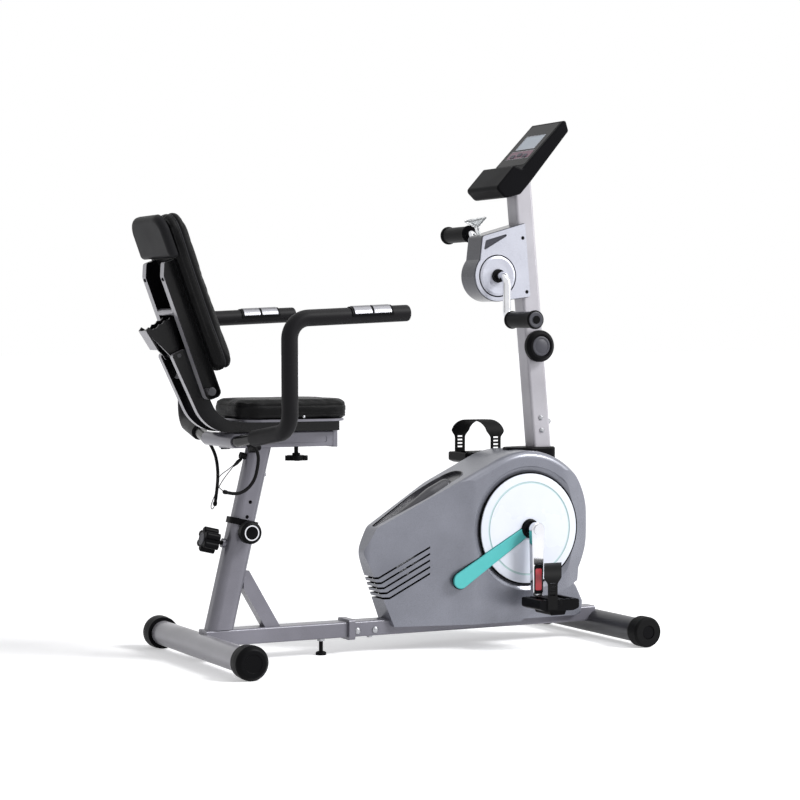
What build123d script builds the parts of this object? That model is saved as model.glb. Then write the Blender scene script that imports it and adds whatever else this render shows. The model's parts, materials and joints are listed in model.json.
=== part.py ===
"""Recumbent exercise bike with a hand crank: one solid or set of solids per piece, in millimetres.

X points forward, Y to the rider's left and Z up. The floor is Z = 0.
"""
from build123d import *
import math
import os

# Whole bike
ORIGIN_SHIFT = 15.5  # moves the middle of the bike's length to X = 0

# Floor frame
TUBE_RADIUS = 30.0
TUBE_WALL = 2.0
REAR_X = -500.0
REAR_Z = 40.0
REAR_HALF = 270.0
CAP_RADIUS = 40.4
CAP_START = 262.0
CAP_END = 307.0
FRONT_X = 579.6
FRONT_Z = 38.0
FRONT_HALF = 213.0
WHEEL_RADIUS = 38.0
WHEEL_START = 216.0
WHEEL_END = 263.0
BEAM_WIDTH = 50.0
BEAM_LOW = 41.0
BEAM_HIGH = 79.0
BEAM_WALL = 2.5
BEAM_FRONT = 572.0
JOINT_X = -124.0
JOINT_BOLTS_X = (-106.6, -58.3)
JOINT_BOLTS_Z = 56.0
FOOT_X = -193.0

# Seat post, inclined forward
POST_FOOT = (-460.0, 0.0, 77.0)
POST_WAY = (0.2334, 0.0, 0.9724)
SLEEVE_DEEP = 64.0
SLEEVE_WIDE = 54.0
SLEEVE_CORNER = 20.0
SLEEVE_LENGTH = 264.0
POST_DEEP = 56.0
POST_WIDE = 46.0
POST_CORNER = 17.0
POST_START = 92.0
POST_HOLE_PITCH = 36.0
PULL_HEIGHT = 240.0  # along the post, from its foot point
CLAMP_HEIGHT = 203.0

# Seat rail, slider and pad
RAIL_LOW = 508.0
RAIL_HIGH = 545.0
RAIL_HALF = 30.0
RAIL_REAR = -446.0
RAIL_FRONT = -172.0
SLIDER_LOW = 546.5
SLIDER_HIGH = 571.5
SLIDER_FRONT = -165.0
ARM_INNER = 29.0
ARM_OUTER = 47.0
RAIL_KNOB_X = -258.0
PAN_THICK = 5.5
PAD_REAR = -450.0
PAD_FRONT = -150.0
PAD_HALF = 125.0
PAD_TOP = 622.0

# Backrest, measured along the back from its pivot
PIVOT = (-505.0, 0.0, 644.0)
BACK_TILT = 20.4
BAR_INNER = 47.5
BAR_OUTER = 70.5
BAR_TOP = 320.0
CROSSBAR_UP = 201.0
CROSSBAR_OUT = -9.6
CROSSBAR_RADIUS = 8.0
CUSHION_LOW = 31.0
CUSHION_HIGH = 428.0
CUSHION_BACK = 23.0
CUSHION_FRONT = 69.0
CUSHION_HALF = 105.0
SLOT_LOW = 152.0
SLOT_HIGH = 204.0
SLOT_HALF = 29.0
SLOT_DEPTH = 9.0
RACK_X = -575.0
RACK_Z = 733.0
RACK_ARC = 191.5
RACK_START = 21.6  # degrees from the pivot's upright
RACK_END = 41.6
NOTCH_ANGLES = (23.4, 28.4, 33.4, 38.1)
NOTCH_CENTRE = 199.0
NOTCH_RADIUS = 10.2

# Handlebars
BAR_RADIUS = 13.0
BAR_WALL = 2.0
SOCKET_X = -450.0
SOCKET_Z = 528.0
SOCKET_RADIUS = 16.4
SOCKET_HALF = 90.0
FOAM_RADIUS = 19.0
BAR_Y = 321.0
BAR_BEND = 48.0
BAR_LOW = (-417.0, 560.0)
BAR_HIGH = (-418.0, 812.0)
BAR_END = (-126.0, 826.0)
BAR_KNOB = (-403.0, 84.0, 522.0)
PULSE_REAR = -270.0
PULSE_FRONT = -166.0

# Leads under the handlebars
SHEATH_RADIUS = 4.0
WIRE_RADIUS = 1.0
SHEATH_RIGHT = [
    (-434.8, -113.0, 526.4), (-414.0, -113.0, 517.0), (-404.0, -113.0, 495.0),
    (-407.0, -113.0, 466.0), (-415.0, -114.0, 438.0), (-435.0, -114.0, 415.0),
    (-463.0, -112.0, 405.0), (-490.0, -110.0, 413.0),
]
SHEATH_LEFT = [
    (-439.6, 112.0, 519.3), (-424.0, 112.0, 496.0), (-415.0, 112.0, 457.0),
    (-416.0, 111.0, 411.0), (-423.0, 112.0, 365.0),
]
WIRE_RIGHT = [
    (-490.0, -110.0, 413.0), (-503.0, -99.0, 425.0), (-494.0, -76.0, 439.0),
    (-470.0, -46.0, 450.0), (-441.0, -20.0, 459.0), (-421.0, -8.5, 470.0),
]
WIRE_LEFT = [
    (-423.0, 112.0, 365.0), (-432.0, 104.0, 352.0), (-444.0, 90.0, 362.0),
    (-440.0, 71.0, 392.0), (-432.0, 48.0, 424.0), (-424.0, 24.0, 448.0),
    (-418.0, 8.5, 463.0),
]
SOCKET_SPOT = (-392.0, 0.0, 481.0)

# Drive housing
HUB_X = 339.0
HUB_Z = 292.5
DRUM_RADIUS = 190.0
DRUM_Z = 296.0
SHELL_WALL = 3.0
SIDE_HALF = 88.0
SIDE_ROUNDING = 18.0
DISH_RADIUS = 155.0
DISH_FLOOR = 79.0
DISC_RADIUS = 137.0
DISC_FACE = 91.5
DISC_GROOVE = 115.0
TEAL_END = (144.0, 172.0)
TEAL_FACE = 94.0
TEAL_BACK = 84.5
VENT_COUNT = 5
VENT_PITCH = 16.2
VENT_HEIGHT = 5.0
SCOOP_MIDDLE = (68.0, 0.0, 371.0)
SCOOP_SLOPE = 29.0
SCOOP_HALF_LENGTH = 136.0
SCOOP_DEPTH = 11.0

# Crank, pedals and drive
AXLE_RADIUS = 10.0
PILLAR_HALF = 18.0
CRANK_LENGTH = 170.0
CRANK_INNER = 118.0
CRANK_OUTER = 134.0
PEDAL_INNER = 146.0
PEDAL_OUTER = 236.0
PEDAL_LENGTH = 110.0
PEDAL_THICK = 28.0
PEDAL_TOP = 8.0
WEIGHT_DEPTH = 11.0
STRAP_THICK = 2.2
STRAP_RISE = 92.0
STRAP_FORWARD = 7.0
STRAP_SKEW = 0.6
STRAP_LEG_HALF = 14.0
STRAP_PAD_HALF = 25.0
STRAP_LEG_TOP = 48.0
STRAP_PAD_START = 62.0
PULLEY_RADIUS = 97.0
SMALL_PULLEY_RADIUS = 20.0
BELT_LOW = 39.0
BELT_HIGH = 49.0
FLYWHEEL_X = 120.0
FLYWHEEL_Z = 250.0
FLYWHEEL_RADIUS = 100.0

# Mast
MAST_WIDTH = 50.0
MAST_CORNER = 7.0
MAST_FOOT = (452.8, 0.0, 79.0)
MAST_WAY = (-0.08924, 0.0, 0.99601)
MAST_LENGTH = 1108.0
TENSION_X = 393.0
TENSION_Z = 746.8
TENSION_RADIUS = 40.0

# Hand crank
HAND_X = 276.0
HAND_Z = 922.0
HAND_RADIUS = 64.0
HAND_CORE_HALF = 34.0
HAND_SHELL_HALF = 38.0
HAND_COVER_RADIUS = 50.0
ROD_RADIUS = 10.0
ROD_Y = 84.0
ROD_ARM = 110.0
ROD_END = 229.0
ROD_BEND = 23.0
GRIP_RADIUS = 20.0
GRIP_START = 108.0
GRIP_END = 227.0

# Console
CONSOLE_HALF = 80.0
CONSOLE_FACE_LOW = (322.0, 1187.0)
CONSOLE_FACE_HIGH = (447.0, 1317.0)
KEY_OFFSET = 30.0
KEY_UP = 52.0
WINDOW_UP = 102.0

FIT = 0.05  # radial clearance of a pin or shaft in its hole
GAP = 0.3   # clearance between separate pieces


# Helpers

def profile(*corners):
    """Flat face through (a, b, corner radius) corners."""
    points = [(a, b) for a, b, radius in corners]
    radii = [radius for a, b, radius in corners]
    return make_face(FilletPolyline(*points, radius=radii, close=True))


def slab(face, y_low, y_high):
    """Side outline in (x, z), made solid from y_low to y_high."""
    return Plane.XZ.offset(-y_high) * extrude(face, y_high - y_low, dir=(0, 0, 1))


def slanted_slab(face, y_low, y_high, slope):
    """The same, but moved along X by `slope` for each millimetre of Y, and in its drawn place half way."""
    depth = y_high - y_low
    way = Vector(-slope, 0, 1)
    body = extrude(Pos(slope * depth / 2, 0) * face, depth * way.length, dir=tuple(way.normalized()))
    return Plane.XZ.offset(-y_high) * body


def block(x_low, x_high, y_low, y_high, z_low, z_high):
    """Box between two corners."""
    middle = ((x_low + x_high) / 2, (y_low + y_high) / 2, (z_low + z_high) / 2)
    return Pos(*middle) * Box(x_high - x_low, y_high - y_low, z_high - z_low)


def rod(start, end, radius):
    """Round bar between two points."""
    line = Vector(*end) - Vector(*start)
    bottom = (Align.CENTER, Align.CENTER, Align.MIN)
    return Plane(origin=start, z_dir=line) * Cylinder(radius, line.length, align=bottom)


def ring(start, end, outer, inner):
    """Round tube between two points."""
    return rod(start, end, outer) - rod(start, end, inner)


def turned(place, *corners):
    """Solid of revolution about the Z axis of a plane, from (radius, height, corner radius) corners."""
    return place * revolve(Plane.XZ * profile(*corners), Axis.Z)


def both_sides(shape):
    """The shape and its mirror image across the bike's middle plane."""
    return Compound([*shape.solids(), *mirror(shape, Plane.XZ).solids()])


def outward(x, z, y=0.0, side=-1):
    """Plane at (x, y, z) whose Z axis points out to one side of the bike."""
    return Plane(origin=(x, y, z), x_dir=(1, 0, 0), z_dir=(0, side, 0))


def link(start, start_radius, end, end_radius):
    """Flat tapered bar round two circles."""
    rings = (Pos(*start) * Circle(start_radius)).edges() + (Pos(*end) * Circle(end_radius)).edges()
    return make_hull(rings)


def lobed_knob(place, radius, depth, lobes, stem_radius, stem_length):
    """Hand knob with round lobes; its stem points against the plane's Z axis."""
    outline = Circle(radius * 0.72)
    for turn in range(lobes):
        outline += Rot(0, 0, 360 / lobes * turn) * Pos(radius * 0.70, 0) * Circle(radius * 0.30)
    head = extrude(outline, depth)
    head = chamfer(head.faces().sort_by(Axis.Z)[-1].edges(), depth * 0.08)
    boss = Cylinder(stem_radius * 1.9, 6, align=(Align.CENTER, Align.CENTER, Align.MAX))
    stem = Cylinder(stem_radius, stem_length, align=(Align.CENTER, Align.CENTER, Align.MAX))
    return place * (head + boss + stem)


def swept_tube(path, radius):
    """Solid round bar along a path."""
    start = Plane(origin=path @ 0, z_dir=path % 0)
    return sweep(start * Circle(radius), path=path)


def free_route(points):
    """Route of a free lead: straight runs joined by arcs as large as the runs allow."""
    spots = [Vector(*point) for point in points]
    radii = []
    for before, here, after in zip(spots, spots[1:], spots[2:]):
        turn = math.radians((here - before).get_angle(after - here))
        shorter = min((here - before).length, (after - here).length)
        radii.append(0.45 * shorter / math.tan(turn / 2))
    return FilletPolyline(*points, radius=radii), radii


def along_post(height, out=0.0, side=0.0):
    """Point at a height along the seat post, moved out to the rear of it or to one side."""
    x = POST_FOOT[0] + POST_WAY[0] * height - POST_WAY[2] * out
    z = POST_FOOT[2] + POST_WAY[2] * height + POST_WAY[0] * out
    return (x, side, z)


POST_PLANE = Plane(origin=POST_FOOT, x_dir=(POST_WAY[2], 0, -POST_WAY[0]), z_dir=POST_WAY)
MAST_PLANE = Plane(origin=MAST_FOOT, x_dir=(MAST_WAY[2], 0, -MAST_WAY[0]), z_dir=MAST_WAY)
LEAN = math.radians(BACK_TILT)
BACK_PLANE = Plane(origin=PIVOT, x_dir=(math.cos(LEAN), 0, math.sin(LEAN)),
                   z_dir=(-math.sin(LEAN), 0, math.cos(LEAN)))


def mast_point(z, forward=0.0, side=0.0):
    """Point on the mast's axis at height z, moved forward of it or to one side."""
    height = (z - MAST_FOOT[2]) / MAST_WAY[2]
    return (MAST_FOOT[0] + MAST_WAY[0] * height + forward, side, z)


def back_slab(face, y_low, y_high):
    """Outline in (out, up) of the tilted back, made solid from y_low to y_high."""
    side_plane = Plane(origin=PIVOT, x_dir=BACK_PLANE.x_dir, z_dir=(0, -1, 0))
    return side_plane.offset(-y_high) * extrude(face, y_high - y_low, dir=(0, 0, 1))


# Floor frame

def rear_stabiliser():
    return ring((REAR_X, -REAR_HALF, REAR_Z), (REAR_X, REAR_HALF, REAR_Z), TUBE_RADIUS,
                TUBE_RADIUS - TUBE_WALL)


def rear_end_caps():
    """Moulded cups over the tube's ends, with a small flat where they stand."""
    cup = turned(outward(REAR_X, REAR_Z),
                 (0, REAR_HALF + GAP, 0), (TUBE_RADIUS + FIT, REAR_HALF + GAP, 0),
                 (TUBE_RADIUS + FIT, CAP_START, 0),
                 (CAP_RADIUS - 1.4, CAP_START, 1), (CAP_RADIUS, CAP_START + 20, 15),
                 (CAP_RADIUS, CAP_END - 9, 7),
                 (CAP_RADIUS - 9, CAP_END, 8), (22, CAP_END, 0), (20, CAP_END - 2, 0), (0, CAP_END - 2, 0))
    plug = turned(outward(REAR_X, REAR_Z), (0, REAR_HALF + GAP, 0), (0, REAR_HALF - 18, 0),
                  (TUBE_RADIUS - TUBE_WALL - FIT, REAR_HALF - 18, 0),
                  (TUBE_RADIUS - TUBE_WALL - FIT, REAR_HALF + GAP, 0))
    floor = block(REAR_X - 60, REAR_X + 60, -400, 0, -20, 0)
    return both_sides(cup + plug - floor)


def beam(x_low, x_high):
    """Rectangular tube of the floor frame, closed at neither end."""
    outer = block(x_low, x_high, -BEAM_WIDTH / 2, BEAM_WIDTH / 2, BEAM_LOW, BEAM_HIGH)
    outer = fillet(outer.edges().filter_by(Axis.X), 5)
    half = BEAM_WIDTH / 2 - BEAM_WALL
    inner = block(x_low - 1, x_high + 1, -half, half, BEAM_LOW + BEAM_WALL, BEAM_HIGH - BEAM_WALL)
    return outer - inner


def beam_flange(x_low):
    plate = block(x_low, x_low + 8, -33, 33, BEAM_LOW - 6, BEAM_HIGH + 6)
    plate = fillet(plate.edges().filter_by(Axis.X), 6)
    half = BEAM_WIDTH / 2 - BEAM_WALL
    return plate - block(x_low - 1, x_low + 9, -half, half, BEAM_LOW + BEAM_WALL, BEAM_HIGH - BEAM_WALL)


def rear_beam():
    body = beam(REAR_X, JOINT_X)
    end = block(REAR_X, REAR_X + 3, -24, 24, BEAM_LOW + 1, BEAM_HIGH - 1)
    body = body + end + beam_flange(JOINT_X - 8)
    body -= rod((REAR_X, -40, REAR_Z), (REAR_X, 40, REAR_Z), TUBE_RADIUS + 0.02)
    return body - rod((FOOT_X, 0, 30), (FOOT_X, 0, 50), 5 + FIT)


def front_beam():
    """Beam under the drive, with the joiner tube that its bolts hold."""
    body = beam(JOINT_X, BEAM_FRONT) + beam_flange(JOINT_X)
    for x in JOINT_BOLTS_X:
        body -= rod((x, -30, JOINT_BOLTS_Z), (x, 30, JOINT_BOLTS_Z), 4.2)
    body -= rod((FRONT_X, -40, FRONT_Z), (FRONT_X, 40, FRONT_Z), TUBE_RADIUS + 0.02)
    return Compound([*body.solids(), *beam_joiner().solids()])


def beam_joiner():
    """Tube inside the joint of the two beams."""
    half = BEAM_WIDTH / 2 - BEAM_WALL - 0.2
    outer = block(-175, -45, -half, half, BEAM_LOW + BEAM_WALL + 0.2, BEAM_HIGH - BEAM_WALL - 0.2)
    inner = block(-180, -40, -half + 3, half - 3, BEAM_LOW + 6, BEAM_HIGH - 6)
    joiner = outer - inner
    for x in JOINT_BOLTS_X:
        joiner -= rod((x, -30, JOINT_BOLTS_Z), (x, 30, JOINT_BOLTS_Z), 4.2)
    return joiner


def front_stabiliser():
    """Dark front tube with a plug and a wheel pin in each end."""
    tube = ring((FRONT_X, -FRONT_HALF, FRONT_Z), (FRONT_X, FRONT_HALF, FRONT_Z), TUBE_RADIUS,
                TUBE_RADIUS - TUBE_WALL)
    pin = turned(outward(FRONT_X, FRONT_Z), (0, FRONT_HALF - 14, 0), (27.9, FRONT_HALF - 14, 0),
                 (27.9, FRONT_HALF, 0),
                 (30, FRONT_HALF, 0), (30, FRONT_HALF + 2, 0), (AXLE_RADIUS, FRONT_HALF + 2, 0),
                 (AXLE_RADIUS, WHEEL_END - 3.6, 0), (16, WHEEL_END - 3.6, 0), (16, WHEEL_END - 1.5, 1),
                 (0, WHEEL_END - 1.5, 0))
    return Compound([*tube.solids(), *both_sides(pin).solids()])


def wheel(side):
    """Moulded transport wheel with a hub recess and a rounded tread."""
    return turned(outward(FRONT_X, FRONT_Z, side=side),
                  (AXLE_RADIUS + FIT, WHEEL_START, 0), (WHEEL_RADIUS - 4, WHEEL_START, 3),
                  (WHEEL_RADIUS, WHEEL_START + 10, 6), (WHEEL_RADIUS, WHEEL_END - 7, 5),
                  (WHEEL_RADIUS - 3, WHEEL_END, 3),
                  (17, WHEEL_END, 0), (17, WHEEL_END - 4, 0), (AXLE_RADIUS + FIT, WHEEL_END - 4, 0))


def levelling_foot():
    place = Plane(origin=(FOOT_X, 0, 0))
    return turned(place, (0, 0, 0), (13, 0, 0), (13, 7, 3), (5, 10, 0), (5, 62, 0), (0, 62, 0))


def bolt(place, radius, head, hex_head=False):
    """Bolt head standing on a plane, with a short shank through the wall behind it."""
    dome = turned(place, (0, 0, 0), (radius, 0, 0), (radius, head * 0.45, head * 0.4),
                  (radius * 0.45, head, 1), (0, head, 0))
    if hex_head:
        dome = place * extrude(RegularPolygon(radius, 6), head)
    shank = place * Cylinder(radius * 0.45, 2.4, align=(Align.CENTER, Align.CENTER, Align.MAX))
    return dome + shank


def frame_bolts():
    """Bolts of the beams and of the mast."""
    parts = []
    for x in JOINT_BOLTS_X:
        for side in (-1, 1):
            head = turned(outward(x, JOINT_BOLTS_Z, BEAM_WIDTH / 2 * side, side), (0, 0, 0), (8, 0, 0),
                          (8, 2, 1.8), (4, 5, 1), (0, 5, 0))
            parts.append(head)
        parts.append(rod((x, -BEAM_WIDTH / 2, JOINT_BOLTS_Z), (x, BEAM_WIDTH / 2, JOINT_BOLTS_Z), 4))
    under = Plane(origin=(-62, 0, BEAM_LOW), z_dir=(0, 0, -1))
    parts.append(under * extrude(RegularPolygon(8, 6), 6))
    nut = Plane(origin=(FOOT_X, 0, BEAM_LOW), z_dir=(0, 0, -1))
    parts.append(nut * extrude(RegularPolygon(10, 6) - Circle(5 + FIT), 7))
    for z in (566, 534):
        spot = mast_point(z, side=-MAST_WIDTH / 2)
        parts.append(turned(outward(spot[0], z, spot[1]), (0, 0, 0), (6.5, 0, 0), (6.5, 2, 1.5), (3, 5, 1),
                            (0, 5, 0)))
    front = Plane(origin=mast_point(554, forward=MAST_WIDTH / 2 / MAST_WAY[2] + 0.05),
                  z_dir=(MAST_WAY[2], 0, -MAST_WAY[0]))
    parts.append(turned(front, (0, 0, 0), (9, 0, 0), (9, 6, 3), (5, 16, 5), (0, 16, 0)))
    return Compound([solid for part in parts for solid in part.solids()])


# Seat post and its sleeve

def post_section(deep, wide, corner, start, length):
    return POST_PLANE * Pos(0, 0, start) * extrude(RectangleRounded(deep, wide, corner), length)


def seat_sleeve():
    """Outer tube welded to the beam, with a nut boss on its right side and one at its rear."""
    tube = post_section(SLEEVE_DEEP, SLEEVE_WIDE, SLEEVE_CORNER, -30, SLEEVE_LENGTH + 30)
    start = along_post(PULL_HEIGHT, side=-SLEEVE_WIDE / 2 + 1)
    boss = rod(start, along_post(PULL_HEIGHT, side=-SLEEVE_WIDE / 2 - 16), 12)
    rear = along_post(CLAMP_HEIGHT, out=SLEEVE_DEEP / 2 - 1)
    boss += rod(rear, along_post(CLAMP_HEIGHT, out=SLEEVE_DEEP / 2 + 8), 11)
    body = tube + boss
    body -= post_section(SLEEVE_DEEP - 4, SLEEVE_WIDE - 4, SLEEVE_CORNER - 2, -40, SLEEVE_LENGTH + 60)
    body -= rod(along_post(PULL_HEIGHT, side=-15), along_post(PULL_HEIGHT, side=-60), 6 + FIT)
    body -= rod(along_post(CLAMP_HEIGHT, out=20), along_post(CLAMP_HEIGHT, out=60), 5 + FIT)
    return body - block(-600, -300, -60, 60, 0, BEAM_HIGH)


def sleeve_collar():
    """Black collar on the sleeve's top, one piece with the liner that guides the post."""
    top = SLEEVE_LENGTH + 2
    body = post_section(SLEEVE_DEEP + 9, SLEEVE_WIDE + 9, SLEEVE_CORNER + 4, top - 13, 15)
    liner = post_section(SLEEVE_DEEP - 4.1, SLEEVE_WIDE - 4.1, SLEEVE_CORNER - 2, SLEEVE_LENGTH - 165, 167)
    body -= post_section(SLEEVE_DEEP, SLEEVE_WIDE, SLEEVE_CORNER, -40, SLEEVE_LENGTH + 40)
    body += liner
    body -= post_section(POST_DEEP + 0.6, POST_WIDE + 0.6, POST_CORNER, -40, SLEEVE_LENGTH + 60)
    body -= rod(along_post(PULL_HEIGHT, side=-15), along_post(PULL_HEIGHT, side=-60), 6 + FIT)
    return body - rod(along_post(CLAMP_HEIGHT, out=20), along_post(CLAMP_HEIGHT, out=60), 5 + FIT)


def seat_brace():
    """Diagonal tube from the sleeve's front to the beam."""
    outline = profile((-402, 216, 0), (-388, 216, 0), (-308, 79, 0), (-347, 79, 0), (-402, 173, 0))
    body = slab(outline, -16, 16)
    body -= slab(offset(outline, -2.5), -13.5, 13.5)
    return body - post_section(SLEEVE_DEEP + 0.04, SLEEVE_WIDE + 0.04, SLEEVE_CORNER, 0, SLEEVE_LENGTH)


def seat_post():
    """Inner tube with its row of height holes, cut level under the rail."""
    length = (RAIL_LOW - POST_FOOT[2]) / POST_WAY[2] + 20
    body = post_section(POST_DEEP, POST_WIDE, POST_CORNER, POST_START, length - POST_START)
    body -= post_section(POST_DEEP - 4, POST_WIDE - 4, POST_CORNER - 2, POST_START - 5, length)
    for step in range(5):
        height = 165 + POST_HOLE_PITCH * step + (2 if step > 2 else 0)
        body -= rod(along_post(height, side=-15), along_post(height, side=-30), 4.5)
    bump = along_post(383, out=-POST_DEEP / 2 + 1)
    body += rod(bump, along_post(383, out=-POST_DEEP / 2 - 5), 4)
    body -= rod(along_post(415, out=15), along_post(415, out=40), 6)
    return body - block(-500, -200, -40, 40, RAIL_LOW, RAIL_LOW + 60)


def post_pull_knob():
    """Round pull knob with a recessed face and its locating pin."""
    spot = along_post(PULL_HEIGHT)
    reach = SLEEVE_WIDE / 2 + 18
    place = outward(spot[0], spot[2])
    return turned(place, (0, POST_WIDE / 2 + 0.4, 0), (6, POST_WIDE / 2 + 0.4, 1), (6, reach, 0),
                  (20, reach, 2),
                  (26.5, reach + 4, 2), (26.5, reach + 24, 4), (19, reach + 27, 1), (17, reach + 24, 0),
                  (8, reach + 23, 0), (0, reach + 23, 0))


def post_clamp_knob():
    """Lobed knob at the sleeve's rear whose screw clamps the post."""
    place = Plane(origin=along_post(CLAMP_HEIGHT, out=56), z_dir=(-POST_WAY[2], 0, POST_WAY[0]))
    return lobed_knob(place, 30, 36, 6, 5, 56 - POST_DEEP / 2 - 0.4)


# Rail, handlebars and what they carry

def seat_rail():
    """Slotted rail on the post, with the cross socket for the handlebars at its rear end."""
    body = block(RAIL_REAR, RAIL_FRONT, -RAIL_HALF, RAIL_HALF, RAIL_LOW, RAIL_HIGH)
    body = fillet(body.edges().filter_by(Axis.X), 4)
    body += block(RAIL_FRONT - 2, RAIL_FRONT + 9, -RAIL_HALF - 1, RAIL_HALF + 1, RAIL_LOW - 2,
                  RAIL_HIGH + 0.8)
    body -= block(RAIL_REAR + 20, RAIL_FRONT - 5, -RAIL_HALF + 3, RAIL_HALF - 3, RAIL_LOW + 3, RAIL_HIGH - 3)
    body -= block(-424, -180, -8, 8, RAIL_HIGH - 5, RAIL_HIGH + 5)
    groove = slab(profile((-405, 517, 7), (-190, 517, 7), (-190, 534, 7), (-405, 534, 7)), RAIL_HALF - 1.5,
                  RAIL_HALF + 2)
    body = body - groove - mirror(groove, Plane.XZ)
    body += rod((SOCKET_X, -SOCKET_HALF, SOCKET_Z), (SOCKET_X, SOCKET_HALF, SOCKET_Z), SOCKET_RADIUS)
    body -= rod((SOCKET_X, -120, SOCKET_Z), (SOCKET_X, 120, SOCKET_Z), BAR_RADIUS + FIT)
    for side in (-1, 1):
        start = (SOCKET_X + 8, BAR_KNOB[1] * side, BAR_KNOB[2])
        body -= rod(start, (SOCKET_X + 40, start[1], start[2]), 4 + FIT)
    return body - rod((RAIL_KNOB_X, 0, RAIL_LOW - 5), (RAIL_KNOB_X, 0, RAIL_LOW + 6), 5 + FIT)


def bar_points(side):
    foam_start = (-438, 170 * side, 541.4)
    return [(SOCKET_X, 8 * side, SOCKET_Z), (SOCKET_X, 99 * side, SOCKET_Z), foam_start,
            (BAR_LOW[0], BAR_Y * side, BAR_LOW[1]), (BAR_HIGH[0], BAR_Y * side, BAR_HIGH[1]),
            (BAR_END[0], BAR_Y * side, BAR_END[1])]


def handlebars():
    """Bent tubes from the socket out, up and forward."""
    solids = []
    for side in (-1, 1):
        points = bar_points(side)
        path = FilletPolyline(points[0], points[1], *points[3:], radius=[60, BAR_BEND, BAR_BEND])
        solids += (swept_tube(path, BAR_RADIUS) - swept_tube(path, BAR_RADIUS - BAR_WALL)).solids()
    return Compound(solids)


def armrest_foam():
    """Foam sleeves over the tubes, closed and rounded at the front."""
    solids = []
    for side in (-1, 1):
        points = bar_points(side)
        tube_path = FilletPolyline(points[0], points[1], *points[3:], radius=[60, BAR_BEND, BAR_BEND])
        corner = (Vector(*points[3]) - Vector(*points[1])).normalized()
        start = Vector(*points[1]) + corner * 74
        front = (Vector(*points[5]) - Vector(*points[4])).normalized()
        tip = Vector(*points[5]) + front * 7
        path = FilletPolyline(start, *points[3:5], tip, radius=[BAR_BEND, BAR_BEND])
        outer = swept_tube(path, FOAM_RADIUS)
        end = outer.faces().sort_by_distance(tip)[0]
        outer = fillet(end.edges(), 6)
        solids += (outer - swept_tube(tube_path, BAR_RADIUS + FIT)).solids()
    return Compound(solids)


def arm_plane(side):
    """Plane with its Z axis along an armrest, starting at the rear of its pulse pad."""
    rise = (BAR_END[1] - BAR_HIGH[1]) / (BAR_END[0] - BAR_HIGH[0])
    z = BAR_HIGH[1] + rise * (PULSE_REAR - BAR_HIGH[0])
    return Plane(origin=(PULSE_REAR, BAR_Y * side, z), x_dir=(0, 1, 0), z_dir=(1, 0, rise))


def pulse_pads():
    """Saddles on the armrests, each with a front and a rear contact plate."""
    solids = []
    length = PULSE_FRONT - PULSE_REAR
    for side in (-1, 1):
        place = arm_plane(side)
        up = -1 if place.y_dir.Z < 0 else 1
        shell = Circle(FOAM_RADIUS + 2.2) - Circle(FOAM_RADIUS + FIT) - Pos(0, -22 * up) * Rectangle(60, 40)
        solids += (place * extrude(shell, length)).solids()
        plate = Circle(FOAM_RADIUS + 3.4) - Circle(FOAM_RADIUS + 2.22) - Pos(0, -18 * up) * Rectangle(60, 44)
        for start in (6, length / 2 + 3):
            solids += (place * Pos(0, 0, start) * extrude(plate, length / 2 - 9)).solids()
    return Compound(solids)


def bar_knob(side):
    place = Plane(origin=(BAR_KNOB[0] - 12, BAR_KNOB[1] * side, BAR_KNOB[2]), x_dir=(0, 1, 0),
                  z_dir=(1, 0, 0))
    return lobed_knob(place, 23, 22, 5, 4, 20)


def lead_sheaths():
    """Round sheaths that hang from the handlebars."""
    solids = []
    for points in (SHEATH_RIGHT, SHEATH_LEFT):
        route, radii = free_route(points)
        solids += swept_tube(route, SHEATH_RADIUS).solids()
        print("sheath length", round(route.length, 1), "radii", [round(radius, 1) for radius in radii])
    return Compound(solids)


def lead_wires():
    """Thin wires from the sheaths' ends to the plugs."""
    solids = []
    for points in (WIRE_RIGHT, WIRE_LEFT):
        route, radii = free_route(points)
        solids += swept_tube(route, WIRE_RADIUS).solids()
        print("wire length", round(route.length, 1), "radii", [round(radius, 1) for radius in radii])
    return Compound(solids)


def plug(end):
    """Tapered plug from a wire's end towards the socket."""
    way = (Vector(*SOCKET_SPOT) + Vector(-9, 0, 0) - Vector(*end)).normalized()
    length = (Vector(*SOCKET_SPOT) + Vector(-9, 0, 0) - Vector(*end)).length
    place = Plane(origin=end, z_dir=way)
    return turned(place, (0, 0, 0), (1.8, 0, 0), (4, length * 0.45, 2), (3.4, length, 0), (0, length, 0))


def grommet(points, side):
    """Rubber ring where a sheath leaves the handlebar."""
    end = Vector(*points[0])
    way = (Vector(*points[1]) - end).normalized()
    corners = bar_points(side)
    path = FilletPolyline(corners[0], corners[1], *corners[3:], radius=[60, BAR_BEND, BAR_BEND])
    return rod(tuple(end - way * 4), tuple(end), 6) - swept_tube(path, BAR_RADIUS + FIT)


def lead_plugs():
    """Grommets at the handlebars, and two tapered plugs meeting in the black socket at the post's rear."""
    socket = rod(along_post(415, out=POST_DEEP / 2 - 2), along_post(415, out=POST_DEEP / 2 + 6), 5.9)
    body = socket + rod(along_post(415, out=POST_DEEP / 2 + 0.05), along_post(415, out=POST_DEEP / 2 + 14), 8)
    body = body + plug(WIRE_RIGHT[-1]) + plug(WIRE_LEFT[-1])
    return Compound([*body.solids(), *grommet(SHEATH_RIGHT, -1).solids(), *grommet(SHEATH_LEFT, 1).solids()])


# Seat

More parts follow.
